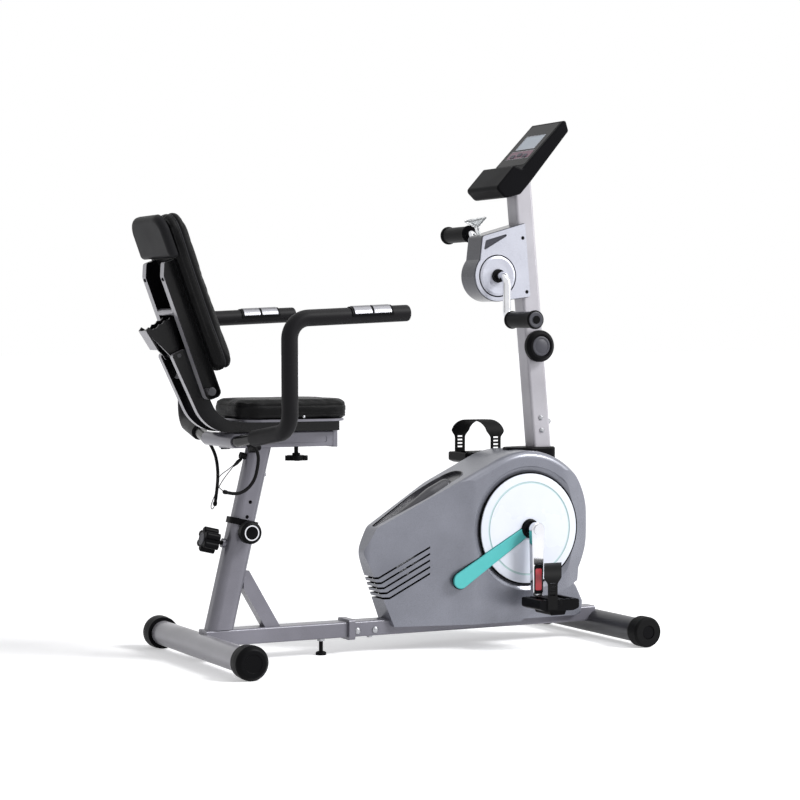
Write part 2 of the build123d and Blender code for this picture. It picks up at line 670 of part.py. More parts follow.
def seat_slider():
    """Channel under the seat with a tongue through the rail's slot and a clamp plate inside the rail."""
    half = ARM_INNER - 0.02
    body = block(-400, SLIDER_FRONT, -half, half, SLIDER_LOW, SLIDER_HIGH)
    body -= block(-396, SLIDER_FRONT - 4, -half + 3, half - 3, SLIDER_LOW - 1, SLIDER_HIGH - 4)
    body += block(-330, -238, -6, 6, RAIL_LOW + 15, SLIDER_HIGH - 2)
    body += block(-335, -232, -22, 22, RAIL_LOW + 12, RAIL_LOW + 20)
    return body


def arm_outline():
    return profile((-594, 729, 8), (-556, 745, 8), (-473, SLIDER_HIGH, 70),
                   (SLIDER_FRONT, SLIDER_HIGH, 0), (SLIDER_FRONT, SLIDER_LOW, 0), (-507, SLIDER_LOW, 95))


def back_arms():
    """Two bent bars under the seat and up to the backrest's pivot, tied by a tab near the top."""
    bar = slab(arm_outline(), ARM_INNER, ARM_OUTER)
    bar += rod((PIVOT[0], ARM_INNER, PIVOT[2]), (PIVOT[0], ARM_OUTER, PIVOT[2]), 17)
    bar -= rod((PIVOT[0], 0, PIVOT[2]), (PIVOT[0], 60, PIVOT[2]), 6.02)
    bar -= rod((RACK_X, 0, RACK_Z - 5), (RACK_X, 60, RACK_Z - 5), 5.02)
    tab = block(-566, -530, -ARM_INNER, ARM_INNER, 688, 692)
    tab = Pos(-548, 0, 690) * Rot(0, -64, 0) * Pos(548, 0, -690) * tab
    return Compound([*bar.solids(), *mirror(bar, Plane.XZ).solids(), *tab.solids(), *back_bolts().solids()])


def back_bolts():
    """Pivot bolt with its spacer, and the rack's pin."""
    place = outward(PIVOT[0], PIVOT[2], side=1)
    pivot = turned(place, (0, -77, 0), (10, -77, 2), (10, -71, 0), (6, -71, 0), (6, -29, 0), (10, -29, 0),
                   (10, 29, 0),
                   (6, 29, 0), (6, 71, 0), (10, 71, 0), (10, 77, 2), (0, 77, 0))
    pin = rod((RACK_X, -ARM_OUTER, RACK_Z - 5), (RACK_X, ARM_OUTER, RACK_Z - 5), 5)
    return Compound([*pivot.solids(), *pin.solids()])


def seat_pan():
    outline = profile((PAD_REAR + 26, -96, 40), (PAD_FRONT - 12, -110, 55), (PAD_FRONT - 12, 110, 55),
                      (PAD_REAR + 26, 96, 40))
    return Pos(0, 0, SLIDER_HIGH) * extrude(outline, PAN_THICK, dir=(0, 0, 1))


def seat_pad():
    """Padded seat, wider at the front than at the back."""
    outline = profile((PAD_REAR, -108, 55), (PAD_FRONT, -PAD_HALF, 62), (PAD_FRONT, PAD_HALF, 62),
                      (PAD_REAR, 108, 55))
    low = SLIDER_HIGH + PAN_THICK
    body = Pos(0, 0, low) * extrude(outline, PAD_TOP - low, dir=(0, 0, 1))
    body = fillet(body.faces().sort_by(Axis.Z)[-1].edges(), 13)
    return fillet(body.faces().sort_by(Axis.Z)[0].edges(), 6)


# Backrest

def back_frame():
    """Two bars with the crossbar that the rack carries, and the cushion's bolts."""
    outline = profile((-17, -18, 14), (23, -18, 14), (23, BAR_TOP, 3), (-4, BAR_TOP, 8),
                      (-17, BAR_TOP - 30, 20))
    bar = back_slab(outline, BAR_INNER, BAR_OUTER)
    bar -= back_slab(offset(outline, -2.5), BAR_INNER + 2.5, BAR_OUTER + 1)
    collar = ring((PIVOT[0], BAR_INNER, PIVOT[2]), (PIVOT[0], BAR_OUTER, PIVOT[2]), 10, 6 + FIT)
    bar = bar + collar - rod((PIVOT[0], 40, PIVOT[2]), (PIVOT[0], 80, PIVOT[2]), 6 + FIT)
    bars = bar + mirror(bar, Plane.XZ)
    start = BACK_PLANE.from_local_coords(Vector(CROSSBAR_OUT, -BAR_INNER - 1, CROSSBAR_UP))
    end = BACK_PLANE.from_local_coords(Vector(CROSSBAR_OUT, BAR_INNER + 1, CROSSBAR_UP))
    crossbar = rod(tuple(start), tuple(end), CROSSBAR_RADIUS)
    return bars + crossbar


def back_cushion():
    """Padded back, rounded at its corners, with a slot in its board for the top of the rack."""
    outline = profile((-CUSHION_HALF + 4, CUSHION_LOW, 34), (CUSHION_HALF - 4, CUSHION_LOW, 34),
                      (CUSHION_HALF, CUSHION_HIGH, 46), (-CUSHION_HALF, CUSHION_HIGH, 46))
    face_plane = Plane(origin=PIVOT, x_dir=(0, 1, 0), z_dir=BACK_PLANE.x_dir)
    body = face_plane.offset(CUSHION_BACK) * extrude(outline, CUSHION_FRONT - CUSHION_BACK, dir=(0, 0, 1))
    ends = body.faces().sort_by(Axis(PIVOT, tuple(BACK_PLANE.x_dir)))
    body = fillet(ends[-1].edges(), 14)
    ends = body.faces().sort_by(Axis(PIVOT, tuple(BACK_PLANE.x_dir)))
    body = fillet(ends[0].edges(), 5)
    outside = 5
    slot = Pos(0, (SLOT_LOW + SLOT_HIGH) / 2) * RectangleRounded(2 * SLOT_HALF, SLOT_HIGH - SLOT_LOW, 6)
    slot = face_plane.offset(CUSHION_BACK - outside) * slot
    return body - extrude(slot, SLOT_DEPTH + outside, dir=tuple(BACK_PLANE.x_dir))


def back_shell():
    """Dark moulded cover behind the upper part of the cushion."""
    outline = profile((-103, 324, 8), (103, 324, 8), (101, 427, 42), (-101, 427, 42))
    face_plane = Plane(origin=PIVOT, x_dir=(0, 1, 0), z_dir=BACK_PLANE.x_dir)
    depth = 19
    body = face_plane.offset(CUSHION_BACK - depth) * extrude(outline, depth - 0.02, dir=(0, 0, 1))
    rear = body.faces().sort_by(Axis(PIVOT, tuple(BACK_PLANE.x_dir)))[0]
    return fillet(rear.edges(), 14)


def prop_rack():
    """Two notched fan plates with a rear lip, hinged between the arms.

    The arc starts in the first notch, so that the bar in it doesn't hold the rack when it tips back.
    """
    pivot = Vector(PIVOT[0], PIVOT[2])

    def on_arc(radius, degrees):
        angle = math.radians(degrees)
        return (pivot.X - radius * math.sin(angle), pivot.Y + radius * math.cos(angle))

    arc_start = on_arc(RACK_ARC, RACK_START)
    arc_end = on_arc(RACK_ARC, RACK_END)
    lip_end = on_arc(203, 42.6)
    edges = [Line((RACK_X + 12, RACK_Z - 8), arc_start),
             ThreePointArc(arc_start, on_arc(RACK_ARC, 30), arc_end),
             Line(arc_end, lip_end),
             Line(lip_end, on_arc(201, 45.6)),
             Line(on_arc(201, 45.6), (RACK_X - 12, RACK_Z - 8)),
             Line((RACK_X - 12, RACK_Z - 8), (RACK_X + 12, RACK_Z - 8))]
    fan = make_face(edges) + Pos(RACK_X, RACK_Z - 5) * Circle(12.5)
    for degrees in NOTCH_ANGLES:
        fan -= Pos(*on_arc(NOTCH_CENTRE, degrees)) * Circle(NOTCH_RADIUS)
    plate = slab(fan, 21, 25)
    lip_low = on_arc(150, 50)
    web_outline = make_face(Polyline(lip_low, on_arc(201, 45.6), on_arc(198.6, 44.2),
                                     (lip_low[0] + 2.6, lip_low[1] + 2),
                                     close=True))
    web = slab(web_outline, -25, 25)
    rack = plate + mirror(plate, Plane.XZ) + web
    return rack - rod((RACK_X, -60, RACK_Z - 5), (RACK_X, 60, RACK_Z - 5), 5 + FIT)


def rail_knob():
    place = Plane(origin=(RAIL_KNOB_X, 0, 486), z_dir=(0, 0, -1))
    return lobed_knob(place, 28.5, 12, 5, 5, RAIL_LOW + 11.5 - 486)


# Drive housing

def drum_tangent(x, z):
    """Point where the line from (x, z) touches the drum's circle on its top."""
    reach = math.hypot(x - HUB_X, z - DRUM_Z)
    angle = math.atan2(z - DRUM_Z, x - HUB_X) - math.acos(DRUM_RADIUS / reach)
    return (HUB_X + DRUM_RADIUS * math.cos(angle), DRUM_Z + DRUM_RADIUS * math.sin(angle))


def housing_outline():
    """Side view: a round drum with a tapered tail and a skirt down over the beam."""
    drum = Pos(HUB_X, DRUM_Z) * Circle(DRUM_RADIUS)
    touch = drum_tangent(136, 409)
    tail = profile((-87, 245, 24), (-56, 304, 30), (136, 409, 260), (touch[0], touch[1], 0),
                   (HUB_X, DRUM_Z, 0),
                   (495, 190, 0), (490, 154, 0), (364, 100, 0), (316, 61, 0), (-13, 61, 0))
    return drum + tail


def plan_outline():
    """Top view: a narrow rounded nose that widens to the full width round the drum."""
    rings = (Pos(-62, 0) * Circle(27)).edges()
    for side in (-1, 1):
        for x, y, radius in ((190, SIDE_HALF - 50, 50), (440, SIDE_HALF - 50, 50), (505, 32, 30)):
            rings += (Pos(x, y * side) * Circle(radius)).edges()
    return make_hull(rings)


def upper_rim(body, which):
    """Edges of one side face that run over the drum and round the tail."""
    face = body.faces().sort_by(Axis.Y)[which]
    return [edge for edge in face.edges() if edge.center().Z > 175 or edge.center().X < 100]


def housing_solid(inset=0.0, rounding=0.0):
    side = housing_outline()
    plan = plan_outline()
    half = SIDE_HALF - inset
    if inset:
        side = offset(side, -inset, kind=Kind.INTERSECTION)
        plan = offset(plan, -inset)
    body = slab(side, -half, half)
    if rounding:
        body = fillet(upper_rim(body, 0), rounding)
        body = fillet(upper_rim(body, -1), rounding)
    return body & extrude(plan, 600, dir=(0, 0, 1))


def scoop_plane():
    lean = math.radians(SCOOP_SLOPE)
    return Plane(origin=SCOOP_MIDDLE, x_dir=(math.cos(lean), 0, math.sin(lean)),
                 z_dir=(-math.sin(lean), 0, math.cos(lean)))


def scoop_outline(grow=0.0):
    """Spindle seen from above the slope: pointed at the lower end, broad and round at the upper end."""
    half = SCOOP_HALF_LENGTH
    face = profile((-half, -10, 9), (20, -52, 150), (half, -44, 40), (half, 44, 40), (20, 52, 150),
                   (-half, 10, 9))
    return offset(face, grow) if grow else face


def scoop_tool(grow=0.0):
    """Pocket for the scoop, open upwards."""
    return scoop_plane() * Pos(0, 0, -SCOOP_DEPTH - grow) * extrude(scoop_outline(grow), 120)


def scoop_insert():
    """Dark dished cover: a thin floor with an upstanding rim and a long ridge turned like a spindle."""
    inner = scoop_outline(-GAP)
    floor = Pos(0, 0, -SCOOP_DEPTH) * extrude(inner, 2.5)
    rim = Pos(0, 0, -SCOOP_DEPTH) * extrude(inner - scoop_outline(-GAP - 2), SCOOP_DEPTH - 1)
    spindle = profile((-108, 0, 0), (-60, 12, 60), (40, 23, 90), (96, 20, 19), (104, 0, 0))
    ridge = Pos(0, 0, -SCOOP_DEPTH - 6) * revolve(spindle, Axis.X)
    ridge &= Pos(0, 0, 60 - SCOOP_DEPTH + 1) * Box(400, 200, 120)
    return scoop_plane() * (floor + rim + ridge)


def dish_tool(grow=0.0):
    """Recess round the side disc, on the right side."""
    floor = DISH_FLOOR - grow
    return turned(outward(HUB_X, HUB_Z), (0, floor, 0), (DISC_RADIUS + 3 + grow, floor, 0),
                  (DISH_RADIUS + grow, SIDE_HALF - grow * 0.5 - 1, 6), (DISH_RADIUS + 12 + grow, 110, 0),
                  (0, 110, 0))


def teal_outline(grow=0.0):
    face = link((HUB_X, HUB_Z), 12, TEAL_END, 20)
    return offset(face, grow) if grow else face


def mast_clearance():
    return MAST_PLANE * extrude(RectangleRounded(MAST_WIDTH + 0.6, MAST_WIDTH + 0.6, MAST_CORNER), 700)


def pillar_clearance():
    """Room for the crank pillar in the covers' lower walls."""
    return block(HUB_X - PILLAR_HALF - GAP, HUB_X + PILLAR_HALF + GAP, -PILLAR_HALF - GAP, PILLAR_HALF + GAP,
                 50, 130)


def vent_tools():
    tools = []
    for row in range(VENT_COUNT):
        front = (74, 255 - VENT_PITCH * row)
        rear = (-52 + 6.75 * row, 182 - 12.5 * row)
        half = VENT_HEIGHT / 2
        outline = Polyline((front[0], front[1] - half), (front[0], front[1] + half),
                           (rear[0], rear[1] + half),
                           (-120, rear[1] + half), (-120, rear[1] - half), (rear[0], rear[1] - half),
                           close=True)
        tools.append(slab(make_face(outline), -100, 100))
    return tools


def housing_shell():
    """Both halves of the housing as one hollow shell."""
    shell = housing_solid(rounding=SIDE_ROUNDING)
    void = housing_solid(inset=SHELL_WALL, rounding=SIDE_ROUNDING - SHELL_WALL)
    mast_zone = block(385, 460, -32, 32, 430, 520)
    void = void - scoop_tool(SHELL_WALL) - dish_tool(SHELL_WALL) - mirror(dish_tool(SHELL_WALL), Plane.XZ)
    teal = slab(teal_outline(SHELL_WALL + 2), -120, -TEAL_BACK + SHELL_WALL)
    void = void - teal - mirror(teal, Plane.XZ) - mast_zone
    shell = shell - void - scoop_tool() - dish_tool() - mirror(dish_tool(), Plane.XZ)
    teal = slab(teal_outline(2), -120, -TEAL_BACK)
    shell = shell - teal - mirror(teal, Plane.XZ)
    for tool in vent_tools():
        shell -= tool
    shell -= block(-200, 600, -BEAM_WIDTH / 2 - GAP, BEAM_WIDTH / 2 + GAP, 0, BEAM_HIGH + GAP)
    shell -= mast_clearance() + pillar_clearance()
    return shell - rod((HUB_X, -120, HUB_Z), (HUB_X, 120, HUB_Z), 24)


def housing_discs():
    """Round side disc with its ring groove, hub cup and tapered bar, on each side."""
    place = outward(HUB_X, HUB_Z)
    back = DISH_FLOOR + 0.05
    disc = turned(place, (24.1, back, 0), (DISC_RADIUS, back, 0), (DISC_RADIUS, DISC_FACE - 4, 2),
                  (DISC_GROOVE + 2, DISC_FACE - 2, 0), (DISC_GROOVE + 1.6, DISC_FACE - 3.2, 0),
                  (DISC_GROOVE - 1.6, DISC_FACE - 3.2, 0), (DISC_GROOVE - 2, DISC_FACE - 2, 0),
                  (60, DISC_FACE - 0.5, 0), (24.1, DISC_FACE, 0))
    disc -= slab(teal_outline(2), -120, -TEAL_BACK)
    bar = slab(teal_outline(), -TEAL_FACE, -TEAL_BACK)
    bar = chamfer(bar.faces().sort_by(Axis.Y)[0].edges(), 1.2)
    bar -= rod((HUB_X, -120, HUB_Z), (HUB_X, -60, HUB_Z), 24.1)
    cup = turned(place, (AXLE_RADIUS + 0.5, DISH_FLOOR - 6, 0), (24, DISH_FLOOR - 6, 0),
                 (24, DISC_FACE + 4, 2),
                 (19, DISC_FACE + 6, 1), (17, DISC_FACE + 1, 0), (AXLE_RADIUS + 0.5, DISC_FACE + 1, 0))
    return both_sides(Compound([*disc.solids(), *bar.solids(), *cup.solids()]))


def foot_cover():
    """Light cover over the beam between the housing and the front tube."""
    outline = profile((317, 61, 0), (364.5, 99.6, 0), (490.4, 153.6, 0), (505, 135, 8), (524, 96, 14),
                      (519, 66, 4), (510, 61, 0))
    body = slab(outline, -45, 45)
    front = [edge for edge in body.edges() if edge.center().X > 500 and abs(edge.center().Y) > 40]
    body = fillet(front, 7)
    body -= slab(offset(outline, -3), -42, 42)
    body -= mast_clearance() + pillar_clearance()
    return body - block(200, 600, -BEAM_WIDTH / 2 - GAP, BEAM_WIDTH / 2 + GAP, 0, BEAM_HIGH + GAP)


def mast_collar():
    """Dark collar where the mast leaves the housing."""
    outline = profile((318, -18, 16), (372, -38, 40), (451, -38, 18), (451, 38, 18), (372, 38, 40),
                      (318, 18, 16))
    body = Pos(0, 0, 440) * extrude(outline, 52, dir=(0, 0, 1))
    body = fillet(body.faces().sort_by(Axis.Z)[-1].edges(), 5)
    body -= housing_solid(rounding=SIDE_ROUNDING)
    return body - MAST_PLANE * extrude(RectangleRounded(MAST_WIDTH + 0.1, MAST_WIDTH + 0.1, MAST_CORNER), 700)


# Inside the housing

def drive_carrier():
    """Pillar and shell for the crank axle, fork plates for the flywheel, and the magnet bracket."""
    wall = PILLAR_HALF - 3
    pillar = block(HUB_X - PILLAR_HALF, HUB_X + PILLAR_HALF, -PILLAR_HALF, PILLAR_HALF, BEAM_HIGH, HUB_Z)
    pillar -= block(HUB_X - wall, HUB_X + wall, -wall, wall, BEAM_HIGH - 1, HUB_Z - 20)
    shell = rod((HUB_X, -34, HUB_Z), (HUB_X, 34, HUB_Z), 23)
    pillar = pillar + shell - rod((HUB_X, -40, HUB_Z), (HUB_X, 40, HUB_Z), 17)
    parts = [*pillar.solids()]
    for side in (-1, 1):
        parts += ring((HUB_X, 22 * side, HUB_Z), (HUB_X, 34 * side, HUB_Z), 16.95, AXLE_RADIUS + FIT).solids()
    plate = profile((88, BEAM_HIGH, 0), (152, BEAM_HIGH, 0), (134, FLYWHEEL_Z + 16, 14),
                    (106, FLYWHEEL_Z + 16, 14))
    right = slab(plate, -25, -20)
    left = slab(plate, 56, 60) + block(88, 152, 20, 60, BEAM_HIGH, BEAM_HIGH + 4)
    arc = Pos(FLYWHEEL_X, FLYWHEEL_Z) * (Circle(FLYWHEEL_RADIUS + 12) - Circle(FLYWHEEL_RADIUS + 4))
    arc &= Pos(FLYWHEEL_X - 120, FLYWHEEL_Z - 30) * Rectangle(160, 70)
    arm = profile((4, FLYWHEEL_Z - 40, 3), (FLYWHEEL_X, FLYWHEEL_Z - 40, 0), (FLYWHEEL_X, FLYWHEEL_Z - 20, 0),
                  (4, FLYWHEEL_Z - 20, 3))
    right = right + slab(arc, -25, 14) + slab(arm, -25, -20)
    axle = rod((FLYWHEEL_X, -30, FLYWHEEL_Z), (FLYWHEEL_X, 64, FLYWHEEL_Z), 8)
    return Compound([*parts, *(right + left + axle).solids()])


def flywheel():
    """Cast wheel with a heavy rim, one piece with its long hub and small pulley."""
    place = outward(FLYWHEEL_X, FLYWHEEL_Z, side=1)
    bore = 8 + FIT
    wheel_section = turned(place, (bore, -18, 0), (16, -18, 0), (16, -4, 0), (78, -4, 4), (80, -12, 0),
                           (FLYWHEEL_RADIUS, -12, 2), (FLYWHEEL_RADIUS, 12, 2), (80, 12, 0), (78, 4, 4),
                           (16, 4, 0),
                           (16, BELT_LOW - 4, 0), (SMALL_PULLEY_RADIUS + 4, BELT_LOW - 3, 0),
                           (SMALL_PULLEY_RADIUS + 4, BELT_LOW - 1, 0),
                           (SMALL_PULLEY_RADIUS, BELT_LOW - 0.5, 0),
                           (SMALL_PULLEY_RADIUS, BELT_HIGH + 0.5, 0),
                           (SMALL_PULLEY_RADIUS + 4, BELT_HIGH + 1, 0),
                           (SMALL_PULLEY_RADIUS + 4, BELT_HIGH + 3, 0), (bore, BELT_HIGH + 3, 0))
    return wheel_section


def drive_pulley():
    """Large pulley with lightening holes, pressed on the crank axle."""
    place = outward(HUB_X, HUB_Z, side=1)
    body = turned(place, (AXLE_RADIUS, BELT_LOW - 3, 0), (22, BELT_LOW - 3, 0), (22, 42, 0), (84, 42, 0),
                  (86, BELT_LOW - 1, 0), (PULLEY_RADIUS, BELT_LOW - 1, 0), (PULLEY_RADIUS, BELT_HIGH + 1, 0),
                  (86, BELT_HIGH + 1, 0), (84, 46, 0), (22, 46, 0), (22, BELT_HIGH + 3, 0),
                  (AXLE_RADIUS, BELT_HIGH + 3, 0))
    for turn in range(6):
        angle = math.radians(60 * turn)
        x = HUB_X + 54 * math.cos(angle)
        z = HUB_Z + 54 * math.sin(angle)
        body -= rod((x, 30, z), (x, 60, z), 18)
    return body


def drive_belt():
    """Flat belt round the two pulleys."""
    hub = (HUB_X, HUB_Z)
    small = (FLYWHEEL_X, FLYWHEEL_Z)
    outer = link(hub, PULLEY_RADIUS + 3.3, small, SMALL_PULLEY_RADIUS + 3.3)
    inner = link(hub, PULLEY_RADIUS + GAP, small, SMALL_PULLEY_RADIUS + GAP)
    return slab(outer - inner, BELT_LOW, BELT_HIGH)


# Crank and pedals

def crank_face(side):
    """Outline of one crank arm in (x, z): down on the right, up on the left."""
    reach = CRANK_LENGTH * side
    return link((HUB_X, HUB_Z), 18, (HUB_X, HUB_Z + reach), 13)


def crank_arms():
    """Axle with both arms and the pedal pins."""
    body = rod((HUB_X, -CRANK_OUTER - 3, HUB_Z), (HUB_X, CRANK_OUTER + 3, HUB_Z), AXLE_RADIUS)
    for side in (-1, 1):
        low, high = sorted((CRANK_INNER * side, CRANK_OUTER * side))
        arm = slab(crank_face(side), low, high)
        arm = chamfer(arm.faces().sort_by(Axis.Y)[0 if side < 0 else -1].edges(), 2)
        pin_z = HUB_Z + CRANK_LENGTH * side
        arm += rod((HUB_X, CRANK_OUTER * side, HUB_Z), (HUB_X, (CRANK_OUTER + 4) * side, HUB_Z), 13)
        arm += rod((HUB_X, CRANK_OUTER * side, pin_z), (HUB_X, (CRANK_OUTER + 5) * side, pin_z), 10)
        arm += rod((HUB_X, CRANK_OUTER * side, pin_z), (HUB_X, (PEDAL_OUTER - 4) * side, pin_z), 6)
        insert_z = HUB_Z + 123 * side
        recess = profile((HUB_X - 9, insert_z - 27, 4), (HUB_X + 9, insert_z - 27, 4),
                         (HUB_X + 9, insert_z + 27, 4),
                         (HUB_X - 9, insert_z + 27, 4))
        low, high = sorted(((CRANK_OUTER - 1.5) * side, (CRANK_OUTER + 2) * side))
        arm -= slab(recess, low, high)
        body += arm
    return body


def crank_inserts():
    """Coloured inlays in the outer faces of the arms."""
    solids = []
    for side in (-1, 1):
        insert_z = HUB_Z + 123 * side
        face = profile((HUB_X - 9, insert_z - 27, 4), (HUB_X + 9, insert_z - 27, 4),
                       (HUB_X + 9, insert_z + 27, 4),
                       (HUB_X - 9, insert_z + 27, 4))
        low, high = sorted(((CRANK_OUTER - 1.48) * side, (CRANK_OUTER + 0.6) * side))
        solids += slab(offset(face, -0.05), low, high).solids()
    return Compound(solids)


def pedal(side):
    """Ribbed pedal body with a counterweight under it and a tall arched strap, for one foot.

    The strap crosses the foot at a slant: its inner leg stands further forward than its outer leg.
    """
    z = HUB_Z + CRANK_LENGTH * side
    top = z + PEDAL_TOP
    bottom = top - PEDAL_THICK
    half = PEDAL_LENGTH / 2
    outline = profile((HUB_X - half, bottom + 6, 6), (HUB_X - half + 16, bottom, 20),
                      (HUB_X + half - 16, bottom, 20),
                      (HUB_X + half, bottom + 6, 6), (HUB_X + half, top, 5), (HUB_X - half, top, 5))
    low, high = sorted((PEDAL_INNER * side, PEDAL_OUTER * side))
    body = slab(outline, low, high)
    for x in (HUB_X - 41, HUB_X + 17):
        body -= block(x, x + 24, low + 12, high - 12, z - 50, z + 30)
    for rib in range(8):
        x = HUB_X - 47 + rib * 13
        body -= block(x, x + 3.5, low - 1, high + 1, top - 2, top + 2)
    weight = profile((HUB_X - 24, bottom + 1, 0), (HUB_X - 20, bottom - WEIGHT_DEPTH, 5),
                     (HUB_X + 20, bottom - WEIGHT_DEPTH, 5),
                     (HUB_X + 24, bottom + 1, 0))
    body += slab(weight, low + 9, high - 9)
    body -= rod((HUB_X, low - 1, z), (HUB_X, high + 1, z), 6 + FIT)
    foot = bottom + 4
    outer = profile((low - STRAP_THICK, foot, 0), (low - STRAP_THICK, z + STRAP_RISE, 38),
                    (high + STRAP_THICK, z + STRAP_RISE, 38), (high + STRAP_THICK, foot, 0))
    inner = profile((low, foot - 1, 0), (low, z + STRAP_RISE - STRAP_THICK, 38 - STRAP_THICK),
                    (high, z + STRAP_RISE - STRAP_THICK, 38 - STRAP_THICK), (high, foot - 1, 0))
    strap_plane = Plane(origin=(HUB_X - 70, 0, 0), x_dir=(0, 1, 0), z_dir=(1, 0, 0))
    strap = strap_plane * extrude(outer - inner, 150, dir=(0, 0, 1))
    middle = HUB_X + STRAP_FORWARD
    leg, pad, above = STRAP_LEG_HALF, STRAP_PAD_HALF, STRAP_RISE + 18
    taper = profile((middle - leg, foot - 4, 0), (middle + leg, foot - 4, 0),
                    (middle + leg, z + STRAP_LEG_TOP, 12), (middle + pad, z + STRAP_PAD_START, 10),
                    (middle + pad, z + above, 0), (middle - pad, z + above, 0),
                    (middle - pad, z + STRAP_PAD_START, 10), (middle - leg, z + STRAP_LEG_TOP, 12))
    slope = -STRAP_SKEW * side
    strap &= slanted_slab(taper, low - 10, high + 10, slope)
    for rung in range(4):
        hole_z = z + 18 + rung * 9
        hole = Pos(middle, hole_z + 2) * Rectangle(16, 4)
        strap -= slanted_slab(hole, low - 10, high + 10, slope)
    return Compound([*body.solids(), *strap.solids()])


# Mast, hand crank and console

def mast():
    """Square tube leaning back, from the beam into the console."""
    body = MAST_PLANE * Pos(0, 0, -10) * extrude(RectangleRounded(MAST_WIDTH, MAST_WIDTH, MAST_CORNER),
                                                 MAST_LENGTH + 10)
    inner = MAST_PLANE * Pos(0, 0, -20) * extrude(RectangleRounded(MAST_WIDTH - 4, MAST_WIDTH - 4,
                                                                   MAST_CORNER - 2),
                                                  MAST_LENGTH + 40)
    body -= inner
    body -= block(300, 600, -60, 60, 0, BEAM_HIGH)
    return body - rod((TENSION_X, -60, TENSION_Z), (TENSION_X, -15, TENSION_Z), 5 + FIT)


def tension_knob():
    """Round knob with a stepped face on the mast's right side."""
    place = outward(TENSION_X, TENSION_Z)
    return turned(place, (0, 18, 0), (5, 18, 0), (5, 27, 0), (26, 27, 2), (TENSION_RADIUS - 4, 31, 3),
                  (TENSION_RADIUS, 38, 4), (TENSION_RADIUS, 50, 4), (33, 55, 2), (31, 57, 1), (27, 57, 1),
                  (25, 54, 0),
                  (0, 54, 0))


def hand_outline():
    """Side view of the hand crank's body: a drum with a neck that reaches the mast."""
    drum = Pos(HAND_X, HAND_Z) * Circle(HAND_RADIUS)
    neck = profile((226, 962, 0), (233, 1021, 9), (356, 1056, 4), (372, 870, 8),
                   (HAND_X, HAND_Z - HAND_RADIUS, 0),
                   (HAND_X, HAND_Z, 0))
    return drum + neck


def hand_wedge():
    return profile((236, 984, 3), (242, 1010, 4), (322, 1033, 3))


def hand_core():
    body = slab(hand_outline(), -HAND_CORE_HALF, HAND_CORE_HALF)
    body -= MAST_PLANE * extrude(RectangleRounded(MAST_WIDTH + 0.1, MAST_WIDTH + 0.1, MAST_CORNER),
                                 MAST_LENGTH)
    seat = Plane(origin=(243, 0, 1020), z_dir=(-0.217, 0, 0.976))
    body -= seat * Cylinder(6 + FIT, 30, align=(Align.CENTER, Align.CENTER, Align.CENTER))
    return body - rod((HAND_X, -60, HAND_Z), (HAND_X, 60, HAND_Z), ROD_RADIUS + FIT)


def hand_covers():
    """Silver side shells, each with a round cover set in a dark gap."""
    outline = offset(hand_outline(), -1.5)
    shell = slab(outline - Pos(HAND_X, HAND_Z) * Circle(HAND_COVER_RADIUS + 3) - hand_wedge(),
                 -HAND_SHELL_HALF, -HAND_CORE_HALF)
    cover = turned(outward(HAND_X, HAND_Z), (17, HAND_CORE_HALF, 0), (HAND_COVER_RADIUS, HAND_CORE_HALF, 0),
                   (HAND_COVER_RADIUS, HAND_SHELL_HALF + 1, 2),
                   (HAND_COVER_RADIUS - 6, HAND_SHELL_HALF + 3, 2),
                   (30, HAND_SHELL_HALF + 1.5, 0), (17, HAND_SHELL_HALF + 1.5, 0))
    return both_sides(Compound([*shell.solids(), *cover.solids()]))


def hand_crank():
    """Bent rod: one arm down on the right, the other up on the left."""
    points = [(HAND_X, -ROD_END, HAND_Z - ROD_ARM), (HAND_X, -ROD_Y, HAND_Z - ROD_ARM),
              (HAND_X, -ROD_Y, HAND_Z),
              (HAND_X, ROD_Y, HAND_Z), (HAND_X, ROD_Y, HAND_Z + ROD_ARM), (HAND_X, ROD_END, HAND_Z + ROD_ARM)]
    path = FilletPolyline(*points, radius=ROD_BEND)
    body = swept_tube(path, ROD_RADIUS)
    for side in (-1, 1):
        start = (HAND_X, (HAND_SHELL_HALF + 0.5) * side, HAND_Z)
        body += ring(start, (HAND_X, (HAND_SHELL_HALF + 9) * side, HAND_Z), 16, ROD_RADIUS - 1)
    return body


def hand_grip(side):
    place = outward(HAND_X, HAND_Z + ROD_ARM * side, side=side)
    bore = ROD_RADIUS + FIT
    return turned(place, (bore, GRIP_START, 0), (22, GRIP_START, 1), (22, GRIP_START + 4, 1),
                  (GRIP_RADIUS, GRIP_START + 6, 0),
                  (GRIP_RADIUS, GRIP_END - 10, 0), (23, GRIP_END - 8, 1), (23, GRIP_END - 1, 3),
                  (bore, GRIP_END - 1, 0))


def bowl_knob():
    """Clear bowl on a short stem."""
    place = Plane(origin=(243, 0, 1020), z_dir=(-0.217, 0, 0.976))
    return turned(place, (0, -12, 0), (6, -12, 0), (6, 25, 0), (9, 27, 3), (28.5, 42, 2), (28.5, 46, 1.5),
                  (24.5, 46, 0),
                  (8, 33, 4), (0, 32, 0))


def console_outline():
    return profile((447, 1317, 6), (457, 1286, 8), (346, 1154, 20), (318, 1124, 16), (275, 1113, 14),
                   (248, 1138, 10),
                   (300, 1195, 6), (322, 1187, 8))


def face_plane():
    """Plane on the console's face: Y to the left, its X axis up the slope, Z out of it."""
    low = Vector(CONSOLE_FACE_LOW[0], 0, CONSOLE_FACE_LOW[1])
    high = Vector(CONSOLE_FACE_HIGH[0], 0, CONSOLE_FACE_HIGH[1])
    slope = (high - low).normalized()
    return Plane(origin=tuple(low), x_dir=tuple(slope), z_dir=(-slope.Z, 0, slope.X))


def key_places():
    """The three keys' places on the console's face, as (up, left)."""
    return [(KEY_UP + (4 if left == 0 else 0), left) for left in (-KEY_OFFSET, 0.0, KEY_OFFSET)]


